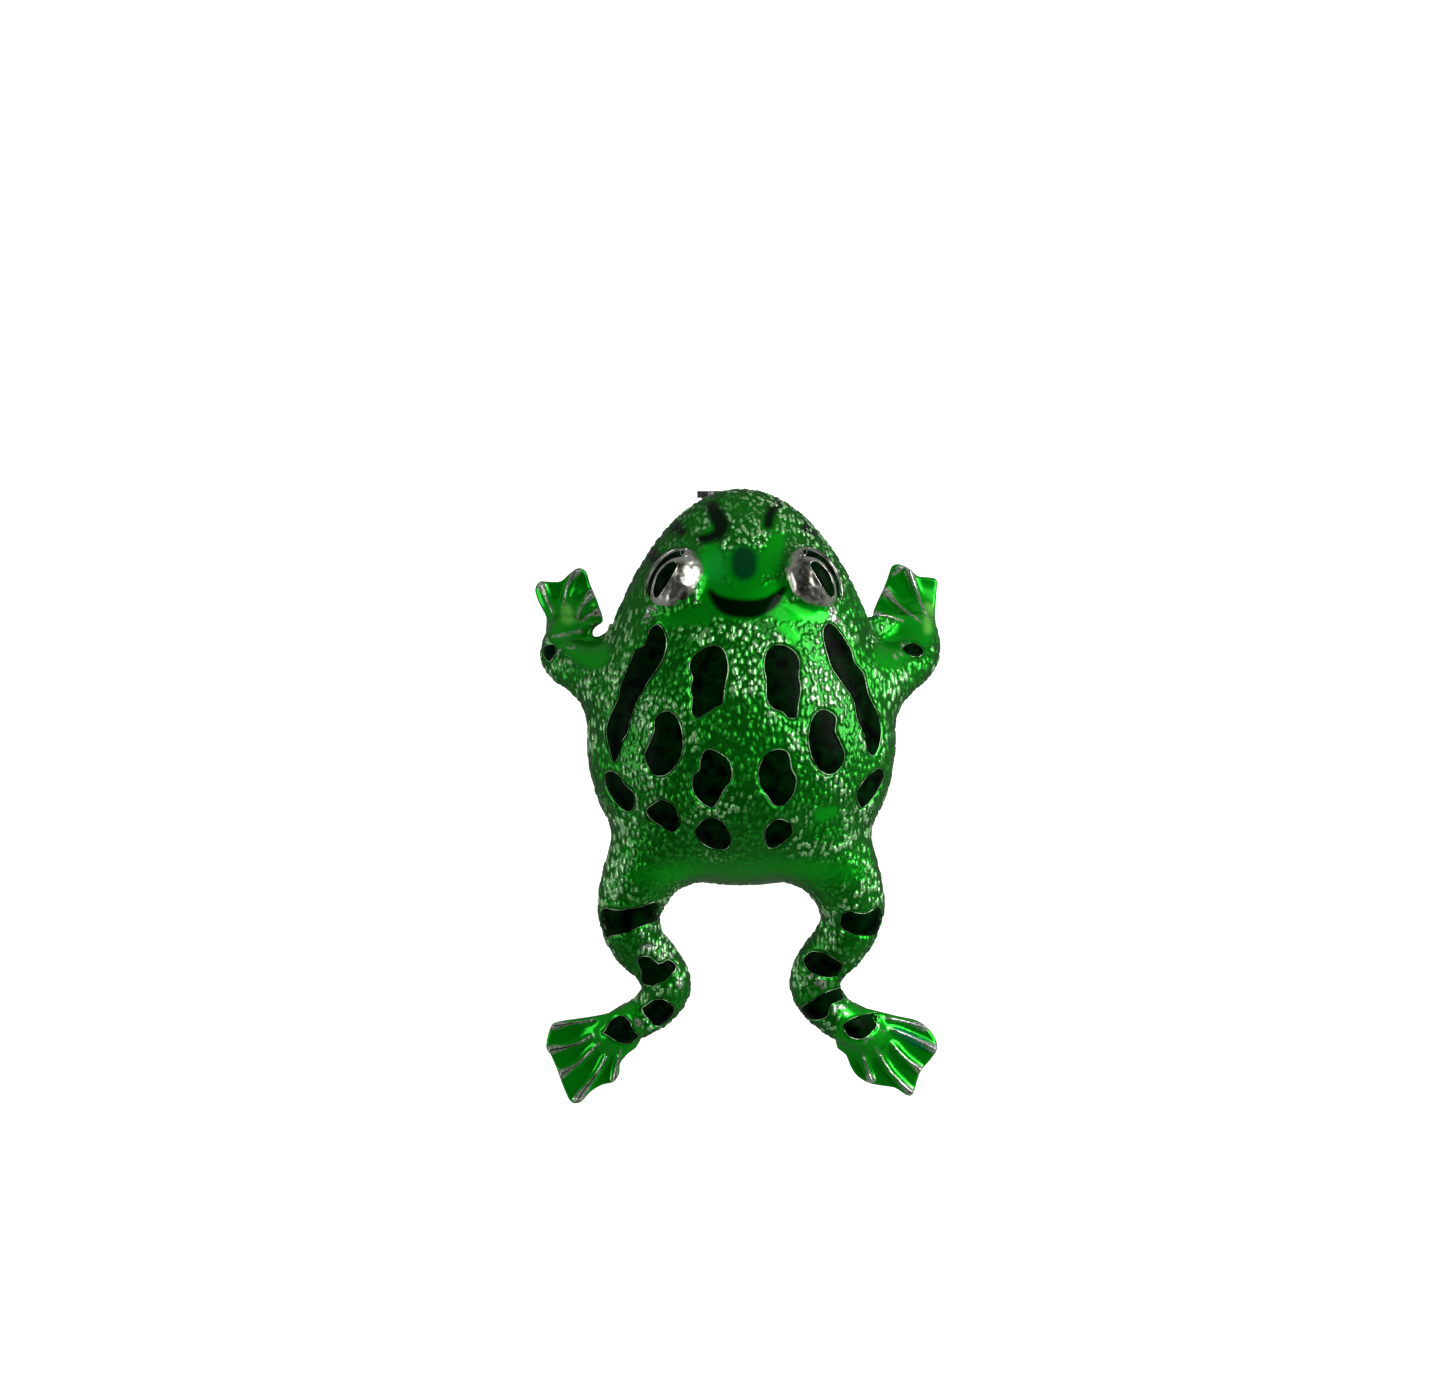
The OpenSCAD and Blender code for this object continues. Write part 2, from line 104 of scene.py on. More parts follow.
RIGHT_FOOT = {
    "outline": [
        (9.8, -18.9), (11.4, -19.2), (14.2, -19.9), (16.1, -20.35), (17.4, -21.5), (17.85, -22.8),
        (17.2, -23.9), (16.35, -24.9), (15.95, -26), (15.6, -27.05), (15, -27.1), (14, -26.45),
        (12.8, -26.25), (11.6, -26), (10.6, -25.4), (10, -24.6), (9.5, -23.4), (8.6, -22.3)],
    "ribs": [
        [(12.9, -20), (14.6, -20.3), (16.6, -20.9)], [(13.2, -20.9), (15.5, -21.8), (17.6, -22.9)],
        [(13.4, -22.1), (14.9, -23.7), (16.3, -24.8)], [(12.2, -22.7), (13.6, -25), (15.5, -26.9)],
        [(11, -23.2), (11.4, -24.5), (11.8, -25.7)]],
    "root": (11, -21), "high": 2.2}
LEFT_HAND = {
    "outline": [
        (-17.6, 14.6), (-17.7, 16.3), (-18.35, 17.6), (-18.75, 18.8), (-18.35, 19.6), (-17.4, 19.6),
        (-16.4, 19.65), (-15.6, 20.35), (-14.8, 20.85), (-14.1, 20.5), (-13.75, 19.4), (-13.3, 18.4),
        (-12.9, 17.3), (-12.6, 16.4), (-12.6, 14.9), (-14, 13.8), (-16, 13.6)],
    "ribs": [
        [(-17, 16.6), (-17.6, 17.8), (-18.2, 19.3)], [(-16.1, 17.2), (-15.9, 19), (-15, 20.6)],
        [(-14.9, 15.9), (-14.6, 17.2), (-13.6, 18.5)], [(-14.5, 15.8), (-13.9, 16.5), (-13, 16.8)]],
    "root": (-15.8, 14.8), "high": 2.4}
RIGHT_HAND = {
    "outline": [
        (17.45, 14), (17.6, 16.5), (17.75, 18.5), (17.8, 19.75), (17, 20), (16.1, 20.1), (15.5, 20.6),
        (15, 20.95), (14.3, 21.2), (13.7, 21), (13.3, 19.9), (12.9, 18.9), (12.3, 17.6), (12, 16.5),
        (12.6, 15), (14, 13.8), (16, 13.6)],
    "ribs": [
        [(16.9, 16.2), (16.2, 18), (15.3, 20.6)], [(16.3, 15.9), (14.6, 17.2), (13.1, 18.7)],
        [(14.6, 16), (13.4, 16.4), (12.3, 16.5)]],
    "root": (15.8, 14.8), "high": 2.4}
FANS = {"left_arm": LEFT_HAND, "right_arm": RIGHT_HAND,
        "left_hind_leg": LEFT_FOOT, "right_hind_leg": RIGHT_FOOT}
WEB_T = 0.6
RIB_H = 0.42
RIB_WIDTH = 0.3
# Webs of skin between forearm and flank: centre, radii, turn about Z and tilt about Y in degrees
SHEETS = [((-13.1, 13.4, 3.9), (3.1, 2.6, 1.1), 12, -28), ((13.1, 14, 3.9), (3.1, 2.7, 1.1), -12, 28)]
# Hole that the left one leaves beside the hand: place, half sizes, turn
HOLE = ((-12.75, 15.2), (0.85, 0.5), 34)
EYES = {-1: (-5.7, 19.35, 12.1), 1: (6.1, 19.4, 12.1)}
EYE_R = (2.7, 3.2, 2.9)
EYE_LEAN = 24

# ------------------------ curves and noise


def spline(rows, steps, closed=False):
    """Smooth curve through rows of numbers, with steps points for each span."""
    p = np.array(rows, float)
    n = len(p)
    i = np.arange(n if closed else n - 1)
    a, b, c, d = (p[(i + k) % n if closed else np.clip(i + k, 0, n - 1)][:, None] for k in (-1, 0, 1, 2))
    t = (np.arange(steps) / steps)[None, :, None]
    out = 0.5 * (2 * b + (c - a) * t + (2 * a - 5 * b + 4 * c - d) * t ** 2
                 + (3 * b - a - 3 * c + d) * t ** 3)
    out = out.reshape(-1, p.shape[1])
    return out if closed else np.vstack([out, p[-1:]])


def smoothstep(lo, hi, v):
    t = np.clip((v - lo) / (hi - lo), 0, 1)
    return t * t * (3 - 2 * t)


def unit(v):
    """Rows of v scaled to a length of 1."""
    return v / np.maximum(np.linalg.norm(v, axis=1), 1e-6)[:, None]


def to_segment(q, a, b):
    """Share of the way from a to b at which each point of q is nearest, and the step from there to it."""
    ab = b - a
    t = np.clip(((q - a) @ ab) / max(ab @ ab, 1e-9), 0, 1)
    return t, q - a - t[:, None] * ab


def hashed(cells, salt):
    """Three repeatable numbers from 0 to 1 for each whole-numbered cell."""
    c = cells.astype(np.uint64)
    h = c[:, 0] * np.uint64(73856093) ^ c[:, 1] * np.uint64(19349663) ^ c[:, 2] * np.uint64(83492791)
    h = (h ^ np.uint64(salt * 2654435761 % 2 ** 32)) & np.uint64(0xFFFFFFFF)
    out = []
    for k in range(3):
        h = (h * np.uint64(1664525) + np.uint64(1013904223 + 97 * k)) & np.uint64(0xFFFFFFFF)
        g = (h ^ (h >> np.uint64(15))) * np.uint64(2246822519) & np.uint64(0xFFFFFFFF)
        out.append((g ^ (g >> np.uint64(13))).astype(float) / 2 ** 32)
    return np.stack(out, 1)


def cells_at(p, pitch, salt=1):
    """Distances to the nearest and second nearest point of a scattered set, in pitches."""
    q = p / pitch + 4096
    base = np.floor(q)
    near = np.full(len(p), 9.0)
    second = near.copy()
    for i in (-1, 0, 1):
        for j in (-1, 0, 1):
            for k in (-1, 0, 1):
                cell = base + (i, j, k)
                d = np.linalg.norm(cell + 0.1 + 0.8 * hashed(cell, salt) - q, axis=1)
                second = np.where(d < near, near, np.minimum(second, d))
                near = np.minimum(near, d)
    return near, second


def soft_noise(p, pitch, salt=1):
    """Smooth noise from 0 to 1 with lumps about a pitch wide."""
    q = p / pitch + 4096
    base = np.floor(q)
    t = q - base
    t = t * t * (3 - 2 * t)
    total = np.zeros(len(p))
    for i in (0, 1):
        for j in (0, 1):
            for k in (0, 1):
                weight = (np.where(i, t[:, 0], 1 - t[:, 0]) * np.where(j, t[:, 1], 1 - t[:, 1])
                          * np.where(k, t[:, 2], 1 - t[:, 2]))
                total += weight * hashed(base + (i, j, k), salt)[:, 0]
    return total


# ------------------------ the casting's shape as a field


def signed_power(v, e):
    return np.sign(v) * np.abs(v) ** e


def trunk_gauge(x, y, z):
    """Zero on the trunk's surface, negative inside."""
    front = y > MID_Y
    t = np.clip(np.where(front, (y - MID_Y) / (SNOUT_Y - MID_Y), (MID_Y - y) / (MID_Y - RUMP_Y)), 0, None)
    wide = np.where(front, signed_power(1 - t ** 1.5, 0.98), signed_power(1 - t ** 2.2, 1 / 1.1))
    n = np.minimum(t, 0.96)
    ahead = (1 - n ** 1.5) ** 0.98 / (1 - n ** 2) ** 1.2
    behind = (1 - n ** 2.2) ** (1 / 1.1) / (1 - n ** 2.4)
    share = np.where(front, ahead, behind)
    waist = MID_Z - END_DROP * np.clip(t, 0, 1) ** 2
    up = z - waist
    top = (up / (CROWN_Z - MID_Z)) ** 2 * share
    low = (up * SIN_TUCK / (waist - FLOOR_Z)) ** 2
    return (x / HALF_W) ** 2 + np.where(up > 0, top, low) - wide


def trunk_field(p):
    x, y, z = p.T
    e = 0.03
    g = trunk_gauge(x, y, z)
    slope = np.sqrt(((trunk_gauge(x + e, y, z) - g) / e) ** 2 + ((trunk_gauge(x, y + e, z) - g) / e) ** 2
                    + ((trunk_gauge(x, y, z + e) - g) / e) ** 2)
    return np.maximum(g / (slope + 0.02), FLOOR_Z - z)


def bars_field(q, s):
    """Distance to a string of tapered bars, whose ends are rows of a flat or solid place and a radius."""
    best = np.full(len(q), 1e9)
    for a, b in zip(s[:-1], s[1:]):
        t, away = to_segment(q, a[:-1], b[:-1])
        best = np.minimum(best, np.linalg.norm(away, axis=1) - (a[-1] + (b[-1] - a[-1]) * t))
    return best


FAR = 9.0


def near_box(p, lo, hi, margin):
    return np.all((p > lo - margin) & (p < hi + margin), axis=1)


LIMB_PATHS = {name: spline(line, 7) for name, line in LIMBS.items()}


def limb_field(p, name):
    s = LIMB_PATHS[name]
    out = np.full(len(p), FAR)
    near = near_box(p, s[:, :3].min(0), s[:, :3].max(0), s[:, 3].max() + 3)
    out[near] = np.minimum(bars_field(p[near], s), FAR)
    return out


def polygon_distance(q, poly):
    """Signed distance of flat points to an outline, negative inside."""
    best = np.full(len(q), 1e9)
    inside = np.zeros(len(q), bool)
    for a, b in zip(poly, np.roll(poly, -1, axis=0)):
        best = np.minimum(best, np.linalg.norm(to_segment(q, a, b)[1], axis=1))
        crosses = (a[1] > q[:, 1]) != (b[1] > q[:, 1])
        rise = (q[:, 1] - a[1]) / (b[1] - a[1] if b[1] != a[1] else 1e-9)
        inside ^= crosses & (q[:, 0] < a[0] + rise * (b[0] - a[0]))
    return np.where(inside, -best, best)


def bent_distance(q, s):
    """Flat distance to a line of points, and how far along it the nearest point is, from 0 to 1."""
    best, along = np.full(len(q), 1e9), np.zeros(len(q))
    for i, (a, b) in enumerate(zip(s[:-1], s[1:])):
        t, away = to_segment(q, a, b)
        d = np.linalg.norm(away, axis=1)
        along = np.where(d < best, (i + t) / (len(s) - 1), along)
        best = np.minimum(best, d)
    return best, along


def ridges(q, fan):
    """Height of the toes' ridges, from 0 to 1."""
    out = np.zeros(len(q))
    for path in fan["rib_paths"]:
        d, along = bent_distance(q, path)
        out = np.maximum(out, np.exp(-(d / RIB_WIDTH) ** 2) * smoothstep(0, 0.3, along))
    return out


for shape in FANS.values():
    shape["edge"] = spline(shape["outline"], 3, closed=True)
    shape["rib_paths"] = [spline(line, 4) for line in shape["ribs"]]


def fan_field(p, fan):
    edge = fan["edge"]
    out = np.full(len(p), FAR)
    near = near_box(p, np.append(edge.min(0), -1), np.append(edge.max(0), 3), 1.5)
    q = p[near]
    flat = polygon_distance(q[:, :2], edge)
    away = np.linalg.norm(q[:, :2] - fan["root"], axis=1)
    top = WEB_T + RIB_H * ridges(q[:, :2], fan) + fan["high"] * np.exp(-(away / 2.6) ** 2)
    soft = 0.22
    dx, dz = flat + soft, (q[:, 2] - top) * 0.85 + soft
    out[near] = np.minimum(np.maximum(dx, dz), 0) + np.hypot(np.maximum(dx, 0), np.maximum(dz, 0)) - soft
    return out


def turned(turn, tilt):
    """Turning matrix, tilt about Y and then turn about Z, both in degrees."""
    a, b = math.radians(turn), math.radians(tilt)
    about_z = np.array([[math.cos(a), -math.sin(a), 0], [math.sin(a), math.cos(a), 0], [0, 0, 1]])
    about_y = np.array([[math.cos(b), 0, math.sin(b)], [0, 1, 0], [-math.sin(b), 0, math.cos(b)]])
    return about_z @ about_y


def egg_field(p, centre, radii, axes):
    """Distance to an egg shape whose own directions are the columns of axes."""
    centre, radii = np.array(centre), np.array(radii)
    near = near_box(p, centre, centre, radii.max() + 3)
    out = np.full(len(p), FAR)
    q = (p[near] - centre) @ axes
    k = np.linalg.norm(q / radii, axis=1)
    out[near] = (k - 1) * k / (np.linalg.norm(q / radii ** 2, axis=1) + 1e-6)
    return out


def join(a, b, k):
    """Union of two fields with a fillet about k wide."""
    h = np.clip(0.5 + 0.5 * (b - a) / k, 0, 1)
    return b + (a - b) * h - k * h * (1 - h)


def eye_axes(side):
    return turned(EYE_LEAN * side, 0) @ np.diag([side, 1, 1])


def hole_field(p):
    place, half, turn = HOLE
    q = (p[:, :2] - place) @ turned(turn, 0)[:2, :2]
    return (np.linalg.norm(q / half, axis=1) - 1) * min(half)


def skin_field(p):
    f = trunk_field(p)
    for side, centre in EYES.items():
        f = join(f, egg_field(p, centre, np.array(EYE_R) - 0.45, eye_axes(side)), 1.6)
    for centre, radii, turn, tilt in SHEETS:
        f = join(f, egg_field(p, centre, radii, turned(turn, tilt)), 1.6)
    for name in LIMBS:
        f = join(f, limb_field(p, name), 2.4 if "arm" in name else 1.8)
    for fan in FANS.values():
        f = join(f, fan_field(p, fan), 0.7)
    f = -join(-f, hole_field(p), 0.4)
    return np.maximum(f, -p[:, 2])


def slope_of(field, p):
    e = 0.02
    return np.stack([field(p + d) - field(p - d) for d in np.eye(3) * e], 1) / (2 * e)


# ------------------------ meshing a field


def field_grid(field, lo, hi, pitch, block=8):
    """Field values on a regular grid, worked out only in blocks that the surface may cross."""
    n = np.ceil((hi - lo) / (pitch * block)).astype(int)
    centres = np.stack(np.meshgrid(*[np.arange(k) for k in n], indexing="ij"), -1).reshape(-1, 3)
    middle = lo + (centres + 0.5) * block * pitch
    rough = field(middle)
    values = rough.reshape(n).astype(np.float32)
    for way in range(3):
        values = np.repeat(values, block, way)
    reach = pitch * block
    offsets = np.stack(np.meshgrid(*[np.arange(block)] * 3, indexing="ij"), -1).reshape(-1, 3)
    chosen = centres[np.abs(rough) < reach * 1.6]
    for group in np.array_split(chosen, max(1, len(chosen) // 400)):
        index = (group[:, None, :] * block + offsets[None]).reshape(-1, 3)
        values[tuple(index.T)] = field(lo + index * pitch)
    return values


def surface_net(values, lo, pitch):
    """Four-sided mesh of the zero surface, one vertex in each grid cell that it crosses."""
    inside = values < 0
    corner = [(i, j, k) for i in (0, 1) for j in (0, 1) for k in (0, 1)]

    def shifted(a, c):
        return a[tuple(slice(c[i], a.shape[i] - 1 + c[i]) for i in range(3))]

    count = sum(shifted(inside, c).astype(np.int8) for c in corner)
    mixed = (count > 0) & (count < 8)
    cells = np.argwhere(mixed)
    number = np.full(mixed.shape, -1, np.int64)
    number[tuple(cells.T)] = np.arange(len(cells))
    total, hits = np.zeros((len(cells), 3)), np.zeros(len(cells))
    for a in corner:
        for axis in range(3):
            if a[axis]:
                continue
            b = tuple(1 if i == axis else a[i] for i in range(3))
            va = values[tuple((cells + a).T)].astype(float)
            vb = values[tuple((cells + b).T)].astype(float)
            crossing = (va < 0) != (vb < 0)
            t = np.where(crossing, va / np.where(crossing, va - vb, 1), 0)
            point = np.array(a) + t[:, None] * (np.arange(3) == axis)
            total += point * crossing[:, None]
            hits += crossing
    points = lo + (cells + total / hits[:, None]) * pitch
    quads = []
    for axis in range(3):
        u, v = [(1, 2), (2, 0), (0, 1)][axis]
        here = inside[tuple(slice(1 if i != axis else 0, -1) for i in range(3))]
        there = inside[tuple(slice(1, -1) if i != axis else slice(1, None) for i in range(3))]
        edges = np.argwhere(here != there)
        grid = edges + [0 if i == axis else 1 for i in range(3)]
        flip = ~here[tuple(edges.T)]
        ring = []
        for du, dv in ((-1, -1), (0, -1), (0, 0), (-1, 0)):
            c = grid.copy()
            c[:, u] += du
            c[:, v] += dv
            ring.append(number[tuple(c.T)])
        q = np.stack(ring, 1)
        q[flip] = q[flip][:, ::-1]
        quads.append(q)
    return points, np.concatenate(quads)


def settle(field, p, rounds=3):
    """Moves points onto the field's zero surface."""
    for _ in range(rounds):
        g = slope_of(field, p)
        p = p - np.clip(field(p), -PITCH, PITCH)[:, None] * g / np.maximum((g ** 2).sum(1), 0.2)[:, None]
    return p


def vertex_normals(points, faces):
    normals = np.zeros_like(points)
    a, b, c, d = (points[faces[:, i]] for i in range(4))
    n = np.cross(c - a, d - b)
    for i in range(4):
        np.add.at(normals, faces[:, i], n)
    return unit(normals)


# ------------------------ Blender objects


def add_mesh(name, points, faces, material, slot, replaces=(), body="frog", normals=None, attributes=None):
    """Makes a smooth mesh piece from millimetre points, with its body and replaced nodes; its slot is not
    used.
    """
    mesh = bpy.data.meshes.new(name)
    mesh.from_pydata((np.asarray(points) * MM).tolist(), [], [list(map(int, f)) for f in faces])
    mesh.polygons.foreach_set("use_smooth", [True] * len(mesh.polygons))
    mesh.materials.append(material)
    for key, values in (attributes or {}).items():
        wide = values.ndim == 2
        layer = mesh.attributes.new(key, "FLOAT_COLOR" if wide else "FLOAT", "POINT")
        if wide:
            values = np.hstack([values, np.ones((len(values), 1))])
        layer.data.foreach_set("color" if wide else "value", values.astype(np.float32).ravel())
    mesh.update()
    if normals is not None:
        mesh.normals_split_custom_set_from_vertices(normals.tolist())
    obj = bpy.data.objects.new(name, mesh)
    bpy.context.scene.collection.objects.link(obj)
    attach(obj, body)
    if replaces:
        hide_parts(*replaces)
    return obj


def ring_faces(rows, cols, closed=True):
    """Faces between rows of points, each row closed on itself or open."""
    faces = []
    for r in range(rows - 1):
        for k in range(cols if closed else cols - 1):
            a, b = r * cols + k, r * cols + (k + 1) % cols
            faces.append((a, b, b + cols, a + cols))
    return faces


def tube(path, radii, sides=8, closed=True):
    """Points and faces of a tube along a path."""
    path = np.asarray(path, float)
    n = len(path)
    if closed:
        ahead = np.roll(path, -1, 0) - np.roll(path, 1, 0)
    else:
        ahead = np.gradient(path, axis=0)
    ahead = unit(ahead)
    side = unit(np.cross(ahead, [0, 0, 1]))
    up = np.cross(side, ahead)
    radii = np.broadcast_to(radii, n)
    turn = np.arange(sides) * 2 * math.pi / sides
    ring = np.cos(turn)[None, :, None] * side[:, None] + np.sin(turn)[None, :, None] * up[:, None]
    points = (path[:, None] + ring * radii[:, None, None]).reshape(-1, 3)
    if closed:
        return points, [tuple(i % (n * sides) for i in f) for f in ring_faces(n + 1, sides)]
    ends = [tuple(range(sides))[::-1], tuple(range((n - 1) * sides, n * sides))]
    return points, ring_faces(n, sides) + ends


def merged(parts):
    """Several (points, faces) as one."""
    points, faces, start = [], [], 0
    for p, f in parts:
        points.append(p)
        faces += [tuple(i + start for i in face) for face in f]
        start += len(p)
    return np.concatenate(points), faces


# ------------------------ materials


def new_material(name):
    m = bpy.data.materials.new(name)
    m.use_nodes = True
    nodes, links = m.node_tree.nodes, m.node_tree.links
    return m, nodes, links, nodes["Principled BSDF"]


def set_inputs(shader, values):
    for key, value in values.items():
        shader.inputs[key].default_value = value


def node(nodes, kind, **values):
    """New shader node of a kind, with values for its inputs or its settings."""
    n = nodes.new("ShaderNode" + kind)
    for key, value in values.items():
        if key in n.inputs:
            n.inputs[key].default_value = value
        else:
            setattr(n, key, value)
    return n


def object_place(nodes, links, scale):
    """Coordinates on the object, scaled so that one unit is a given number of millimetres."""
    place = node(nodes, "TexCoord")
    sized = node(nodes, "VectorMath", operation="SCALE", Scale=1 / (scale * MM))
    links.new(place.outputs["Object"], sized.inputs[0])
    return sized.outputs[0]


def noise(nodes, links, pitch, **values):
    """Noise with lumps about a pitch wide, in millimetres."""
    n = node(nodes, "TexNoise", Scale=1.0, **values)
    links.new(object_place(nodes, links, pitch), n.inputs["Vector"])
    return n.outputs["Fac"]


def add_bump(nodes, links, bsdf, height, strength, deep):
    bump = node(nodes, "Bump", Strength=strength, Distance=deep * MM)
    links.new(height, bump.inputs["Height"])
    links.new(bump.outputs[0], bsdf.inputs["Normal"])


def ramp(nodes, links, source, stops):
    r = node(nodes, "ValToRGB")
    while len(r.color_ramp.elements) < len(stops):
        r.color_ramp.elements.new(0.5)
    for element, (at, colour) in zip(r.color_ramp.elements, stops):
        element.position = at
        element.color = (*colour, 1)
    links.new(source, r.inputs["Fac"])
    return r.outputs["Color"]


def mix_colour(nodes, links, factor, a, b):
    m = node(nodes, "Mix", data_type="RGBA")
    for socket, value in ((m.inputs["Factor"], factor), (m.inputs[6], a), (m.inputs[7], b)):
        if isinstance(value, (int, float)):
            socket.default_value = value
        elif isinstance(value, tuple):
            socket.default_value = (*value, 1)
        else:
            links.new(value, socket)
    return m.outputs[2]


# Pale of the crests close under the glass, also used as the painted glints of the grain
CREST_PALE_AND_GLINT = (0.52, 0.92, 0.47)
BARE_DARK = (0.06, 0.1, 0.05)
BARE_LIGHT = (0.72, 0.8, 0.68)


def enamel_material():
    """Clear green glass over grained silver: pale where the metal stands close under the surface, which also
    serves as painted glints of the grain.
    """
    m, nodes, links, bsdf = new_material("green_enamel")
    grain, rough, tint, bare = (node(nodes, "Attribute", attribute_name=name).outputs
                                for name in ("grain", "rough", "tint", "bare"))
    fine = noise(nodes, links, 0.25, Detail=3.0, Roughness=0.6)
    level = node(nodes, "Math", operation="MULTIPLY_ADD")
    for socket, source in zip(level.inputs, (fine, rough["Fac"], grain["Fac"])):
        links.new(source, socket)
    # The crests turn pale: thin glass over the silver, and painted glints
    stops = [(0.0, (0, 0, 0)), (0.6, (0.02,) * 3), (0.9, (0.4,) * 3), (1.0, (0.75,) * 3)]
    pale = ramp(nodes, links, level.outputs[0], stops)
    green = mix_colour(nodes, links, pale, tint["Color"], CREST_PALE_AND_GLINT)
    silver = ramp(nodes, links, fine, [(0.35, BARE_DARK), (0.6, BARE_LIGHT)])
    links.new(mix_colour(nodes, links, bare["Fac"], green, silver), bsdf.inputs["Base Color"])
    add_bump(nodes, links, bsdf, level.outputs[0], 0.7, 0.09)
    set_inputs(bsdf, {"Metallic": 0.62, "Roughness": 0.24, "Specular IOR Level": 0.2,
                      "Specular Tint": (0.02, 0.3, 0.03, 1), "Coat Weight": 0.5,
                      "Coat Roughness": 0.06, "Coat IOR": 1.35})
    return m


def black_material():
    m, nodes, links, bsdf = new_material("black_enamel")
    cloud = noise(nodes, links, 1.2, Detail=2.0)
    stops = [(0.35, (0.0002, 0.001, 0.0003)), (0.7, (0.0005, 0.02, 0.002))]
    links.new(ramp(nodes, links, cloud, stops), bsdf.inputs["Base Color"])
    set_inputs(bsdf, {"Roughness": 0.3, "Specular IOR Level": 0.02})
    return m


def silver_material(name, light, dark, roughness, scale):
    """Worn metal: the light and dark of its blotches, its roughness, and the blotches' width."""
    m, nodes, links, bsdf = new_material(name)
    blotch = noise(nodes, links, scale, Detail=4.0, Roughness=0.62)
    colour = ramp(nodes, links, blotch, [(0.36, dark), (0.52, light)])
    links.new(colour, bsdf.inputs["Base Color"])
    add_bump(nodes, links, bsdf, blotch, 0.35, 0.05)
    set_inputs(bsdf, {"Metallic": 1.0, "Roughness": roughness})
    return m


GREEN = enamel_material()
BLACK = black_material()
SILVER = silver_material("cast_silver", (0.8, 0.79, 0.75), (0.16, 0.15, 0.11), 0.2, 0.8)
EYE_SILVER = silver_material("eye_silver", (0.8, 0.8, 0.72), (0.2, 0.19, 0.12), 0.3, 1.6)
RIM_SILVER = silver_material("rim_silver", (0.5, 0.75, 0.45), (0.02, 0.08, 0.02), 0.35, 0.9)
OLD_SILVER = silver_material("belly_silver", (0.66, 0.65, 0.6), (0.2, 0.19, 0.15), 0.32, 2.2)
FINDINGS = silver_material("findings", (0.34, 0.34, 0.33), (0.07, 0.07, 0.07), 0.3, 1.2)
STEEL = silver_material("pin_steel", (0.6, 0.6, 0.6), (0.3, 0.3, 0.3), 0.18, 1.5)

# ------------------------ black cells


NET_LO = np.array([-19.2, -28.4, -0.4])
NET_HI = np.array([19.2, 28.4, CROWN_Z + 0.8])
VALUES = field_grid(skin_field, NET_LO, NET_HI, PITCH)


def height_map():
    """Height of the skin over each column of the grid, 0 where there is none."""
    inside = VALUES < 0
    k = inside.shape[2] - 1 - np.argmax(inside[:, :, ::-1], axis=2)
    k = np.minimum(k, inside.shape[2] - 2)
    i, j = np.indices(k.shape)
    low, high = VALUES[i, j, k], VALUES[i, j, k + 1]
    z = NET_LO[2] + PITCH * (k + low / np.minimum(low - high, -1e-6))
    return np.where(inside.any(axis=2), z, 0)


HEIGHTS = height_map()


def top_of(x, y):
    """Height of the skin over flat points."""
    place = np.column_stack([(x - NET_LO[0]) / PITCH, (y - NET_LO[1]) / PITCH])
    u = np.clip(place, 0, np.array(HEIGHTS.shape) - 2)
    i = u.astype(int)
    f = u - i
    h = [[HEIGHTS[i[:, 0] + a, i[:, 1] + b] for b in (0, 1)] for a in (0, 1)]
    near = h[0][0] * (1 - f[:, 1]) + h[0][1] * f[:, 1]
    far = h[1][0] * (1 - f[:, 1]) + h[1][1] * f[:, 1]
    return near * (1 - f[:, 0]) + far * f[:, 0]


def drape(q):
    return np.column_stack([q, top_of(q[:, 0], q[:, 1])])


def wrap(line, q):
    """Points on a limb for flat points seen from above; those past its side go on round it."""
    s = spline(line, 8)
    best = np.full(len(q), 1e9)
    at, offset = np.zeros(len(q)), np.zeros(len(q))
    for i, (a, b) in enumerate(zip(s[:-1], s[1:])):
        t, away = to_segment(q, a[:2], b[:2])
        d = np.linalg.norm(away, axis=1)
        side = np.sign(away @ np.array([b[1] - a[1], a[0] - b[0]]))
        closer = d < best
        at, offset = np.where(closer, i + t, at), np.where(closer, side * d, offset)
        best = np.minimum(best, d)
    i = np.minimum(at.astype(int), len(s) - 2)
    f = (at - i)[:, None]
    here = s[i] * (1 - f) + s[i + 1] * f
    centre = here[:, :3]
    share = offset / here[:, 3]
    turn = np.arcsin(np.clip(share, -0.9, 0.9)) + (share - np.clip(share, -0.9, 0.9)) * 1.6
    ahead = unit(s[i + 1, :3] - s[i, :3])
    side = unit(np.cross(ahead, [0, 0, 1]))
    up = np.cross(side, ahead)
    out = up * np.cos(turn)[:, None] + side * np.sin(turn)[:, None]
    near, far = np.zeros(len(q)), np.full(len(q), 6.0)
    for _ in range(12):
        mid = (near + far) / 2
        inside = skin_field(centre + out * mid[:, None]) < 0
        near, far = np.where(inside, mid, near), np.where(inside, far, mid)
    return centre + out * ((near + far) / 2)[:, None]


SLIDE = 0.7


def on_limb(line, q):
    """Points on a limb that lie under the flat points, as far as its slope lets them."""
    miss = q - wrap(line, q)[:, :2]
    far = np.maximum(np.linalg.norm(miss, axis=1), 1e-6)
    return wrap(line, q + miss * np.minimum(1, SLIDE / far)[:, None])


RINGS = 10
CELL_STEPS = 6
CELL_DEEP = 0.1
CELL_CROWN = 0.03


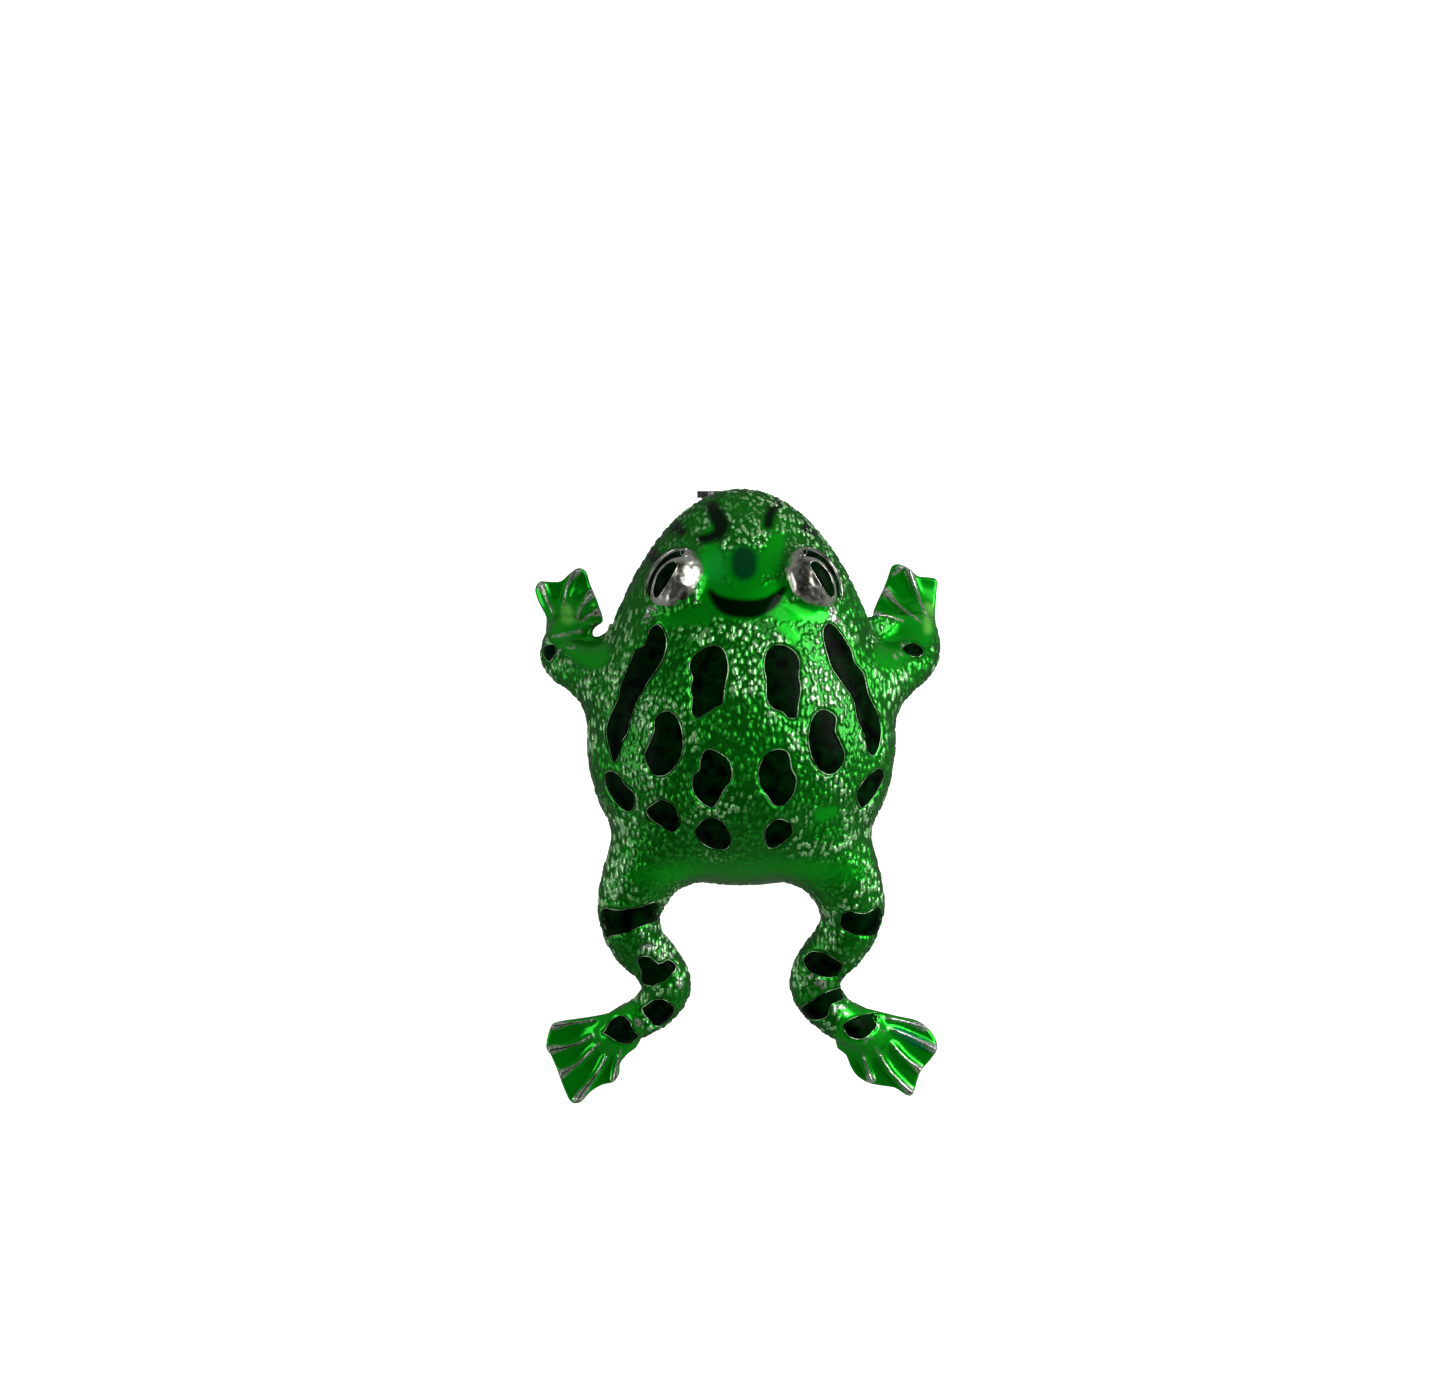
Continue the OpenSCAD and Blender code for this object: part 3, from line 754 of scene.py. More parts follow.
def patch(outline, place):
    """Rings of points inside a flat outline, laid on a surface by place(); also the faces, each point's
    share of the way out and the number of points on the outline."""
    loop = spline(outline, CELL_STEPS, closed=True)
    middle = loop.mean(0)
    shares = 1 - (np.arange(RINGS) / RINGS) ** 1.4
    flat = np.concatenate([middle + (loop - middle) * s for s in shares] + [middle[None]])
    rim = np.concatenate([np.full(len(loop), s) for s in shares] + [[0.0]])
    n = len(loop)
    turn = np.cross(loop - middle, np.roll(loop, -1, 0) - middle).sum() > 0
    last = (RINGS - 1) * n
    faces = ring_faces(RINGS, n)
    faces += [(last + k, last + (k + 1) % n, len(flat) - 1) for k in range(n)]
    if not turn:
        faces = [f[::-1] for f in faces]
    return place(flat), faces, rim, n


def cell(outline, place):
    """A slightly crowned patch of enamel sunk into the skin: points, faces, its edge and normals there."""
    points, faces, rim, n = patch(outline, place)
    normal = unit(slope_of(skin_field, points))
    lift = -CELL_DEEP + (CELL_DEEP + CELL_CROWN) * (1 - rim ** 4)
    return points + normal * lift[:, None], faces, points[:n], normal[:n]


# Outlines of the black cells from above, round each from its top
BACK_CELLS = {
    "back_spot_1": [
        (-3.7, 13.3), (-4.4, 12.7), (-4.7, 11.8), (-4.4, 10.8), (-4.6, 9.8), (-4.4, 8.9), (-4.5, 7.8),
        (-4, 7.25), (-3.1, 7.7), (-2.3, 8.2), (-1.7, 8.6), (-1.5, 10), (-1.2, 11.6), (-1.4, 12.9),
        (-1.9, 13.6), (-2.8, 13.7)],
    "back_spot_2": [
        (2.8, 13.7), (2.2, 13), (2, 11.9), (2.2, 10.7), (2.25, 9), (2.8, 8.1), (3.6, 7.8), (4.2, 7.25),
        (4.9, 7.3), (5.1, 8.4), (5.3, 9.8), (5.15, 11), (5.2, 12.4), (4.6, 13.3), (3.7, 13.75)],
    "back_spot_3": [
        (-6.5, 7.85), (-7.3, 7.7), (-7.8, 7.1), (-7.85, 6), (-8.3, 4.9), (-8.7, 3.8), (-8.4, 2.8),
        (-7.8, 2.1), (-6.9, 2.1), (-6.2, 2.6), (-5.6, 3.4), (-5.25, 4.6), (-5.35, 6.1), (-5.8, 7.3)],
    "back_spot_4": [
        (7.2, 8), (6.6, 7.6), (6.2, 6.7), (6, 5.4), (6.2, 4), (6.8, 2.8), (7.6, 2.2), (8.4, 2.3),
        (9.1, 3.1), (9.25, 4.1), (8.8, 5.2), (8.4, 6.1), (8.5, 7.2), (8, 7.8)],
    "back_spot_5": [
        (-2.6, 4.4), (-3.3, 4.3), (-3.65, 3.5), (-3.8, 2.6), (-4.35, 2), (-4.4, 0.9), (-4, 0.1),
        (-3.4, -0.5), (-2.7, -0.8), (-2.2, -0.4), (-1.6, 0.7), (-0.9, 1.8), (-0.9, 2.8), (-1.4, 3.7)],
    "back_spot_6": [
        (3.4, 4.45), (2.5, 4.2), (1.8, 3.4), (1.5, 2.2), (1.8, 1), (2.4, 0.1), (2.9, -0.6), (3.6, -0.65),
        (4.3, -0.1), (4.8, 0.8), (4.9, 1.8), (4.5, 2.7), (4.35, 3.6), (4.1, 4.2)],
    "back_spot_7": [
        (-11.9, 2.45), (-12.35, 2), (-12.2, 1.1), (-11.8, 0.2), (-11.2, -0.6), (-10.5, -1.15),
        (-9.9, -1.1), (-9.65, -0.4), (-9.8, 0.6), (-10.5, 1.3), (-11.2, 2.2)],
    "back_spot_8": [
        (12.5, 2.7), (11.9, 2.4), (11.1, 1.7), (10.5, 0.8), (10.4, -0.1), (10.8, -0.85), (11.4, -0.5),
        (12.1, 0.3), (12.6, 1.2), (12.85, 2.1)],
    "back_spot_9": [
        (-7.2, -0.1), (-7.9, -0.5), (-8.5, -1), (-8.3, -1.7), (-7.5, -2.3), (-6.7, -2.9), (-6, -3),
        (-5.55, -2.4), (-5.7, -1.5), (-6.3, -0.5)],
    "back_spot_10": [
        (-2.7, -1.75), (-3.5, -2), (-4.2, -2.9), (-3.9, -3.7), (-3.1, -4.3), (-2.2, -4.6), (-1.3, -4.5),
        (-0.9, -3.8), (-1.2, -2.9), (-1.9, -2)],
    "back_spot_11": [
        (3.5, -1.85), (2.8, -2), (2.2, -2.7), (2.1, -3.6), (2.4, -4.4), (3.1, -4.4), (3.8, -3.9),
        (4.6, -3.2), (4.5, -2.5), (4.1, -2.1)],
    "back_spot_12": [
        (-7.4, 15.6), (-8.3, 15.1), (-8.6, 14), (-9.6, 13.2), (-10.2, 11.7), (-10.9, 10.2), (-11.1, 9),
        (-11.8, 7.5), (-12.2, 6), (-11.9, 4.4), (-11.5, 3.3), (-11.1, 3.7), (-10.9, 4.9), (-10.3, 5.8),
        (-10, 7.1), (-9.5, 8.5), (-8.7, 10), (-7.6, 11.6), (-6.95, 12.8), (-6.75, 14.3)],
    "back_spot_13": [
        (7.7, 15.7), (7.3, 14.9), (7.6, 13.2), (8.2, 11.6), (9.3, 10), (10.1, 8.8), (10.4, 7.2),
        (11.1, 5.6), (11.5, 4.1), (12, 3.9), (12.5, 5), (12.6, 6.4), (12.1, 8), (11.4, 9.5), (11, 11.2),
        (10.2, 12.3), (9.8, 13.5), (9, 14.8), (8.3, 15.6)]}
LIMB_CELLS = {
    "left_leg_band_1": (LEFT_LEG, [
        (-12.6, -10.1), (-11, -9.9), (-9, -9.6), (-7.6, -9.4), (-7, -10.6), (-7.9, -11.2), (-9.4, -11.5),
        (-11, -12.2), (-12.4, -12.6), (-13, -11.4)]),
    "left_leg_band_2": (LEFT_LEG, [
        (-9.4, -14.4), (-8.5, -14.2), (-7.6, -15), (-6.6, -14.6), (-5.9, -15.3), (-6.5, -16.2),
        (-7.6, -16.9), (-8.9, -16.9), (-9.2, -15.5)]),
    "left_leg_band_3": (LEFT_LEG, [
        (-9, -19.2), (-8.5, -18.6), (-7.6, -18.1), (-6.7, -18.4), (-6, -19.3), (-6.6, -20.2),
        (-7.6, -20.8), (-8.3, -20.2)]),
    "left_leg_band_4": (LEFT_LEG, [
        (-12.6, -20.9), (-11.9, -20), (-11, -19.7), (-10.2, -20.3), (-9.8, -21.2), (-9.3, -21.7),
        (-10.2, -22.5), (-11.2, -22.2), (-12, -21.6)]),
    "right_leg_band_1": (RIGHT_LEG, [
        (8.7, -10.5), (9.6, -10), (11, -10.2), (12.3, -9.9), (12.9, -10.8), (12.6, -12.3), (11.2, -12.4),
        (9.7, -11.9), (8.9, -11.4)]),
    "right_leg_band_2": (RIGHT_LEG, [
        (5.6, -14.6), (6.3, -14), (7.4, -13.9), (8.3, -14.3), (9.1, -15), (9, -16), (8, -16.3), (7, -16),
        (6, -15.5)]),
    "right_leg_band_3": (RIGHT_LEG, [
        (5.4, -19.1), (6.6, -18.2), (7.7, -17.5), (8.9, -17.2), (9.3, -18.1), (8.2, -18.7), (7.8, -19.7),
        (7, -20.1), (6, -20.1)]),
    "right_leg_band_4": (RIGHT_LEG, [
        (9.3, -20.6), (10.4, -19.9), (11.6, -19.5), (12.2, -20.1), (11.9, -21.2), (11, -21.9),
        (10, -21.8), (9.4, -21.2)])}
ARM_CELLS = {
    "left_arm_band_1": [(-17.9, 13.7), (-17, 13.9), (-16.8, 13.2), (-17.3, 12.3), (-17.9, 12.9)],
    "right_arm_band_1": [(14.6, 13.6), (15.3, 14.1), (16, 13.9), (16.5, 13.3), (16.1, 12.8), (15.3, 12.9)]}
# The parts of an edge where the silver shows are where a lump of noise is over this
RIM_SHOWS = 0.55


def rim_wire(edge, normal, salt):
    """Thin silver edge that sinks out of sight here and there."""
    lump = soft_noise(edge, 1.1, salt)
    shown = smoothstep(RIM_SHOWS - 0.2, RIM_SHOWS + 0.1, lump)
    size = 0.02 + 0.045 * shown * soft_noise(edge, 0.35, salt + 1)
    return tube(edge + normal * (0.06 * shown - 0.1)[:, None], size, sides=6)


def make_cells():
    """Black enamel cells and the silver wire edge round each; returns every cell's points."""
    cells = {name: cell(outline, drape) for name, outline in BACK_CELLS.items()}
    for name, (line, outline) in LIMB_CELLS.items():
        cells[name] = cell(outline, lambda q, line=line: on_limb(line, q))
    for name, outline in ARM_CELLS.items():
        cells[name] = cell(outline, drape)
    rims = []
    for salt, (name, (points, faces, edge, normal)) in enumerate(cells.items()):
        add_mesh(name + "_enamel", points, faces, BLACK, "black_enamel", [name])
        rims.append(rim_wire(edge, normal, 40 + 2 * salt))
    add_mesh("back_cell_rims", *merged(rims[:len(BACK_CELLS)]), RIM_SILVER, "cast_silver")
    add_mesh("limb_cell_rims", *merged(rims[len(BACK_CELLS):]), RIM_SILVER, "cast_silver")
    return np.concatenate([c[0] for c in cells.values()])


# ------------------------ the skin

DEEP = (0.001, 0.25, 0.005)
BRIGHT = (0.002, 0.6, 0.012)
# Bright green of a painted reflection in the glass
PAINTED_REFLECTION = (0.01, 0.7, 0.07)
DARK = (0.0, 0.012, 0.001)
TEAL = (0.0, 0.1, 0.02)
LEMON = (0.2, 0.9, 0.1)
# Turquoise of a painted highlight on a toe
PAINTED_HIGHLIGHT = (0.03, 0.5, 0.35)
# How much darker the glass is in the hollows of the grain, and the painted shade that darkens it low on the
# flanks
HOLLOW_DARK = 0.5
PAINTED_FLANK_SHADE = 0.45
# Soft patches in the green as strokes of [x, y, radius], each with its colour and the width of its edge; one
# is a painted reflection in the glass beside the left eye, one a painted highlight on a toe of the right
# foot
TINTS = [
    ([[-2.6, 26.2, 0.55], [-2.1, 25.2, 0.75], [-1.8, 24.4, 0.7], [-2.4, 23.6, 0.5], [-3.6, 23.3, 0.4]],
     DARK, 0.7),
    ([[3.2, 26.5, 0.4], [2.6, 25.6, 0.5], [2.4, 24.7, 0.5]], DARK, 0.9),
    ([[5.9, 24.3, 0.5], [6.3, 23.9, 0.4]], DARK, 0.9),
    ([[-5.9, 24.4, 0.5], [-5.4, 24, 0.4]], DARK, 0.9), ([[-8, 21.9, 0.5], [-7.6, 21.5, 0.4]], DARK, 0.9),
    ([[-2.8, 18.5, 0.2], [-2.1, 17.7, 0.5], [-1.2, 17.2, 0.75], [0, 17, 0.8], [1.2, 17, 0.8],
      [2.3, 17.4, 0.65], [3.1, 18, 0.5], [3.8, 18.8, 0.2]], DARK, 0.5),
    # Painted reflection: bright green where the glossy glass beside the left eye mirrors a window
    ([[-2.3, 20.2, 0.3], [-2.1, 21.6, 0.2]], PAINTED_REFLECTION, 2.2),
    ([[0.25, 20.7, 1.05], [0.25, 21.5, 1.1]], TEAL, 0.8),
    # Painted highlight: a turquoise streak along a toe of the right foot
    ([[14.2, -21.2, 0.1], [16, -22.2, 0.25], [17.4, -22.8, 0.15]], PAINTED_HIGHLIGHT, 0.6),
    ([[-15.7, 16.4, 0.6], [-15.9, 17.2, 0.3]], LEMON, 0.7),
    ([[16.9, 15.2, 0.3], [17, 17.2, 0.4]], LEMON, 0.6)]
# Where the casting was filed smooth: strokes, with the width of their edge
SMOOTH_ZONES = [
    ([[0.3, 20.4, 1.7], [0.3, 20.9, 1.7]], 1), ([[2.4, 21, 1], [3.2, 23.2, 0.6]], 0.8),
    ([[-2.6, 20.5, 1.2], [-2.7, 22.4, 0.6]], 0.8),
    ([[-3, 18.2, 0.8], [-1.5, 17.2, 1], [0.3, 17, 1.1], [2.2, 17.3, 1], [3.7, 18.6, 0.8]], 0.6),
    ([[-6.8, 15.9, 0.5], [-3.5, 16.5, 0.8]], 0.8), ([[3.8, 16.6, 0.9], [7, 16.6, 0.7]], 0.8),
    ([[7.2, -1.5, 0.6], [8.2, -1.1, 0.4]], 0.5),
    ([[-2.4, 25.6, 0.5], [-1.9, 24.4, 0.7], [-3.4, 23.4, 0.4]], 0.5),
    ([[2.6, 25.6, 0.5], [2.4, 24.7, 0.6]], 0.6), ([[4.9, 14.4, 0.4], [3.8, 15.3, 0.4]], 0.8),
    ([[-3.2, 19.1, 0.5], [0.3, 18.3, 0.8], [3.4, 19.1, 0.5]], 0.9),
    ([[-9.5, -6.9, 0.3], [-4.5, -6.7, 0.5], [0, -6.8, 0.8], [4.5, -6.5, 0.7], [9.5, -6.6, 0.5]], 2.4),
    ([[-13.3, 13, 1.3], [-15.8, 15.2, 1.6]], 1), ([[13.3, 13, 1.3], [15.8, 15.2, 1.6]], 1)]
# Where silver shows bare on the limbs, partly worn silver and partly painted glints: strokes
BARE_AND_GLINT_STROKES = [
    [[-5.6, -16.4, 0.25], [-5.7, -17.5, 0.3]], [[-6.9, -14.2, 0.25], [-6.3, -14.3, 0.2]],
    [[-9.5, -20.2, 0.2], [-9.1, -20.7, 0.25]], [[-8.8, -13.4, 0.2], [-7.6, -13.5, 0.15]],
    [[6.2, -16.1, 0.2], [7.3, -16.9, 0.35]], [[8.6, -19.1, 0.3], [9.6, -19.3, 0.35]],
    [[12.6, -20.6, 0.2], [12.9, -21, 0.25]], [[11.4, -22.1, 0.2], [11.8, -22, 0.2]],
    [[-17, 14.6, 0.1], [-15, 14.9, 0.12]], [[-14.7, 15.05, 0.2], [-14.6, 15, 0.2]],
    [[-16.8, 13.2, 0.1], [-15.2, 13.6, 0.12]], [[14, 12.8, 0.25], [14.3, 12.9, 0.2]],
    [[15.4, 15.2, 0.15], [15.6, 15.2, 0.15]], [[14.6, 13.9, 0.12], [14.6, 13.7, 0.12]],
    [[13.8, 20.4, 0.2], [14.7, 20.9, 0.25]], [[8.1, 16.9, 0.35], [8.5, 16, 0.3]],
    [[-8.1, 16.9, 0.35], [-8.5, 16, 0.3]]]


def covered(flat, rows, soft):
    """How far inside a stroke with a soft edge each flat point is, from 0 to 1."""
    return 1 - smoothstep(-soft * 0.4, soft * 0.6, bars_field(flat, spline(rows, 6)))


def toe_silver(p):
    """How bare the crests of the toes' ridges are, and how near each point is to a hand or foot."""
    bare, web = np.zeros(len(p)), np.zeros(len(p))
    for fan in FANS.values():
        edge = fan["edge"]
        near = near_box(p, np.append(edge.min(0), -1), np.append(edge.max(0), 4), 0.5)
        q = p[near]
        inside = 1 - smoothstep(-0.1, 0.6, polygon_distance(q[:, :2], edge))
        web[near] = np.maximum(web[near], inside)
        for path in fan["rib_paths"]:
            d, along = bent_distance(q[:, :2], path)
            wide = 0.1 + 0.28 * smoothstep(0.55, 1, along)
            worn = smoothstep(0.1, 0.6, along + 0.5 * soft_noise(q, 0.5, 3))
            shown = (1 - smoothstep(wide * 0.6, wide * 1.4, d)) * worn
            bare[near] = np.maximum(bare[near], shown * inside)
    return bare, web


def cell_nearness(p, patch_points):
    tree = KDTree(len(patch_points))
    for i, q in enumerate(patch_points):
        tree.insert(q, i)
    tree.balance()
    return np.array([tree.find(q)[2] for q in p])


def in_cells(p, patch_points):
    """How far inside a black cell each vertex is, from 0 to 1."""
    deep = 1 - smoothstep(0.1, 0.26, cell_nearness(p, patch_points))
    for outline in [*BACK_CELLS.values(), *ARM_CELLS.values()]:
        edge = spline(outline, CELL_STEPS, closed=True)
        near = near_box(p, np.append(edge.min(0), 0), np.append(edge.max(0), CROWN_Z), 0.3)
        deep[near] = np.maximum(deep[near], 1 - smoothstep(0, 0.16, polygon_distance(p[near, :2], edge)))
    return deep


def skin_paint(p, normal):
    """How smooth and how bare the skin is at each vertex, and the colour of its glass; that colour holds
    painted shade on the flanks, a painted reflection and a painted highlight.
    """
    flat = p[:, :2]
    toe_bare, smooth = toe_silver(p)
    for rows, soft in SMOOTH_ZONES:
        smooth = np.maximum(smooth, covered(flat, rows, soft) * (normal[:, 2] > -0.2))
    lump = soft_noise(p, 3.5, 7)
    tint = np.array(DEEP) + (np.array(BRIGHT) - DEEP) * (0.15 + 0.45 * lump)[:, None]
    tint = tint + (np.array(BRIGHT) - tint) * smooth[:, None] * 0.5
    for rows, colour, soft in TINTS:
        w = covered(flat, rows, soft)[:, None]
        tint = tint + (np.array(colour) - tint) * w
    # Painted shade: the glass darker where the skin faces sideways instead of up
    tint = tint * (1 - PAINTED_FLANK_SHADE * smoothstep(0.75, 0.2, normal[:, 2]))[:, None]
    bare = np.maximum(toe_bare, smoothstep(0.2, 0.5, -normal[:, 2]))
    # Strokes of bare silver, partly worn and partly painted glints
    worn = smoothstep(0.35, 0.6, soft_noise(p, 0.35, 8)) * (normal[:, 2] > 0)
    for rows in BARE_AND_GLINT_STROKES:
        bare = np.maximum(bare, covered(flat, rows, 0.3) * worn)
    return smooth, tint, bare


def grained(p, normal):
    """Height of the cast grain from 0 to 1: pebbles on the back, drawn out along the flanks."""
    drift = np.column_stack([soft_noise(p, 0.7, salt) for salt in (13, 14, 15)]) - 0.5
    q = p + 0.35 * drift
    size = 0.3 + 0.25 * soft_noise(p, 0.8, 16)
    near, second = cells_at(q * (1.2, 0.66, 1), GRAIN_PITCH, 3)
    pebble, gap = smoothstep(size + 0.12, size - 0.12, near), smoothstep(0.02, 0.3, second - near)
    pebbles = pebble * 0.75 + 0.25 * gap
    near, second = cells_at(q * (1.25, 0.42, 0.9), GRAIN_PITCH, 4)
    streak, gap = smoothstep(size + 0.12, size - 0.12, near), smoothstep(0.02, 0.3, second - near)
    streaks = streak * 0.8 + 0.2 * gap
    side = smoothstep(0.85, 0.55, normal[:, 2])
    return pebbles * (1 - side) + streaks * side


def make_skin(patch_points):
    points, faces = surface_net(VALUES, NET_LO, PITCH)
    points = settle(skin_field, points)
    normal = unit(slope_of(skin_field, points))
    smooth, tint, bare = skin_paint(points, normal)
    in_cell = in_cells(points, patch_points)
    sparse = 0.35 + 0.65 * smoothstep(0.35, 0.6, soft_noise(points, 2.6, 17))
    rough = (1 - smooth) * (1 - in_cell)
    relief = grained(points, normal)
    tint = tint * (1 - HOLLOW_DARK * rough * (1 - relief))[:, None]
    grain = relief * rough
    height = GRAIN_H * (grain - 0.4 * rough) - 0.16 * in_cell
    points = points + normal * height[:, None]
    points[:, 2] = np.maximum(points[:, 2], 0)
    shading = vertex_normals(points, faces)
    owner = np.zeros(len(points), int)
    base = trunk_field(points)
    for i, name in enumerate(LIMBS):
        d = np.minimum(limb_field(points, name), fan_field(points, FANS[name]))
        owner[d < base] = i + 1
    owner[(owner == 0) & (points[:, 1] > 14.8)] = len(LIMBS) + 1
    pieces = {"back": ["body_shell", "back_enamel"],
              "left_arm": ["left_arm", "left_arm_enamel", "left_hand_webs"],
              "right_arm": ["right_arm", "right_arm_enamel", "right_hand_webs"],
              "left_hind_leg": ["left_hind_leg", "left_leg_enamel", "left_foot_webs"],
              "right_hind_leg": ["right_hind_leg", "right_leg_enamel", "right_foot_webs"],
              "head": ["body_shell", "back_enamel"]}
    face_owner = owner[faces[:, 0]]
    for i, (name, replaced) in enumerate(pieces.items()):
        used, local = np.unique(faces[face_owner == i], return_inverse=True)
        layers = {"grain": (grain * sparse)[used], "rough": (0.6 * rough)[used],
                  "tint": tint[used], "bare": bare[used]}
        add_mesh(name + "_skin", points[used], local.reshape(-1, 4), GREEN, "green_enamel", replaced,
                 normals=shading[used], attributes=layers)


# ------------------------ silver ribs of hands and feet


def make_ribs():
    """Thin silver crest on each toe, thicker towards the tip."""
    for name, fan in FANS.items():
        parts = []
        for k, line in enumerate(fan["ribs"]):
            path = spline(line, 14)
            path = path[len(path) // 5:]
            place = drape(path)
            t = np.linspace(0, 1, len(path))
            size = 0.035 + 0.07 * t ** 1.5 + 0.06 * soft_noise(place, 0.5, 11 + k)
            place[:, 2] -= size * 0.5
            parts.append(tube(place, size, sides=10, closed=False))
        add_mesh(name + "_ribs", *merged(parts), SILVER, "cast_silver")


# ------------------------ eyes

# Outlines on the eye in its own directions: outwards from the middle, and forwards
PUPIL = [(0.8, 1.55), (1.2, 1.5), (1.6, 0.95), (1.88, 0.05), (1.85, -0.8), (1.7, -1.6), (1.25, -2.05),
         (0.95, -1.5), (0.78, -0.5), (0.7, 0.4), (0.62, 1.2)]
LID = [(0.5, 3.1), (1.4, 2.7), (2.1, 1.8), (2.5, 0.6), (2.6, -0.7), (2.4, -1.8), (1.9, -2.7)]
GROOVE = [(0.6, 2.9), (1.4, 2.4), (2.1, 1.4), (2.4, 0.2), (2.4, -1.2), (2, -2.3),
          (1.7, -2.3), (2.05, -1.1), (2.08, 0.1), (1.8, 1.1), (1.3, 1.8), (0.6, 2.3)]
# Ring of silver at the front corner of the eye: middle and radius
CORNER, CORNER_R = (0.55, 2.75), 0.38


def on_eye(side, q, lift=0.0):
    """Points on the eye over points given in its own directions, never under the skin."""
    r = np.array(EYE_R)
    z = r[2] * np.sqrt(np.clip(1 - (q[:, 0] / r[0]) ** 2 - (q[:, 1] / r[1]) ** 2, 0, 1))
    p = np.column_stack([q, z]) @ eye_axes(side).T + EYES[side]
    p[:, 2] = np.maximum(p[:, 2], top_of(p[:, 0], p[:, 1]) + 0.02)
    return p + (p - EYES[side]) * lift


def make_eye(side, word):
    axes = eye_axes(side)
    rows, cols = 80, 120
    a = np.linspace(0, math.pi, rows)[:, None]
    b = np.arange(cols)[None] * 2 * math.pi / cols
    ball = np.stack([np.sin(a) * np.cos(b), np.sin(a) * np.sin(b), np.cos(a) + 0 * b], -1).reshape(-1, 3)
    local = ball * EYE_R
    lump = (soft_noise(local * (1, 0.6, 1) + side * 20, 0.9, 21)
            + 0.5 * soft_noise(local + side * 20, 0.4, 22))
    inner = smoothstep(1.0, 0.2, local[:, 0]) * smoothstep(-0.2, 0.5, ball[:, 2])
    points = EYES[side] + (local + ball * (0.22 * inner * (lump - 0.9))[:, None]) @ axes.T
    faces = ring_faces(rows, cols)
    if side > 0:
        faces = [(a, d, c, b) for a, b, c, d in faces]
    add_mesh(word + "_eye_silver", points, faces, EYE_SILVER, "cast_silver", [word + "_eye"])
    pupil, faces, rim, _ = patch(PUPIL, lambda q: on_eye(side, q))
    pupil += (pupil - EYES[side]) * (0.03 - 0.02 * rim ** 4)[:, None]
    groove, more = patch_strip(GROOVE, side)
    if side < 0:
        faces = [f[::-1] for f in faces]
    add_mesh(word + "_pupil_enamel", *merged([(pupil, faces), (groove, more)]), BLACK, "black_enamel",
             [word + "_pupil"])
    ring = on_eye(side, spline(PUPIL, 8, closed=True), 0.012)
    lid = on_eye(side, spline(LID, 12))
    wire = 0.045 + 0.06 * soft_noise(lid, 0.7, 31)
    turn = np.arange(20) * math.pi / 10
    loop = on_eye(side, CORNER + CORNER_R * np.column_stack([np.cos(turn), np.sin(turn)]))
    add_mesh(word + "_eye_rims", *merged([tube(ring, 0.045, sides=8), tube(lid, wire, sides=8, closed=False),
                                          tube(loop, 0.05, sides=8)]), SILVER, "cast_silver")


def patch_strip(outline, side):
    """Crescent between a pupil and its lid: the first half of the outline is its outer edge."""
    half = len(outline) // 2
    outer = spline(outline[:half], 8)
    inner = spline(outline[half:], 8)[::-1]
    rows = [on_eye(side, inner * (1 - t) + outer * t, 0.006) for t in np.linspace(0, 1, 4)]
    faces = ring_faces(len(rows), len(outer), closed=False)
    if side < 0:
        faces = [f[::-1] for f in faces]
    return np.concatenate(rows), faces


# ------------------------ findings under the belly


def dress_findings():
    """The pin, hinge and catch keep their CAD shape and get metal with wear in it."""
    for name in ("hinge_base", "hinge_rivet", "catch_housing", "catch_barrel", "pin_stem", "belly_plate"):
        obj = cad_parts[name]
        material = {"pin_stem": STEEL, "belly_plate": OLD_SILVER}.get(name, FINDINGS)
        obj.data.materials.clear()
        obj.data.materials.append(material)


# ------------------------ studio

# Heights at which the pale horizon ends and the dim part overhead begins, and their brightness
WORLD_FROM, WORLD_TO = 0.3, 0.7
WORLD_LOW, WORLD_HIGH = 0.2, 0.01
FLOOR_GLOW = 0.85
LIGHTS_AIM = Vector((0, 0, 8))
# Low enough for the pin to hang clear of it when it is swung open
GROUND_Z = -45


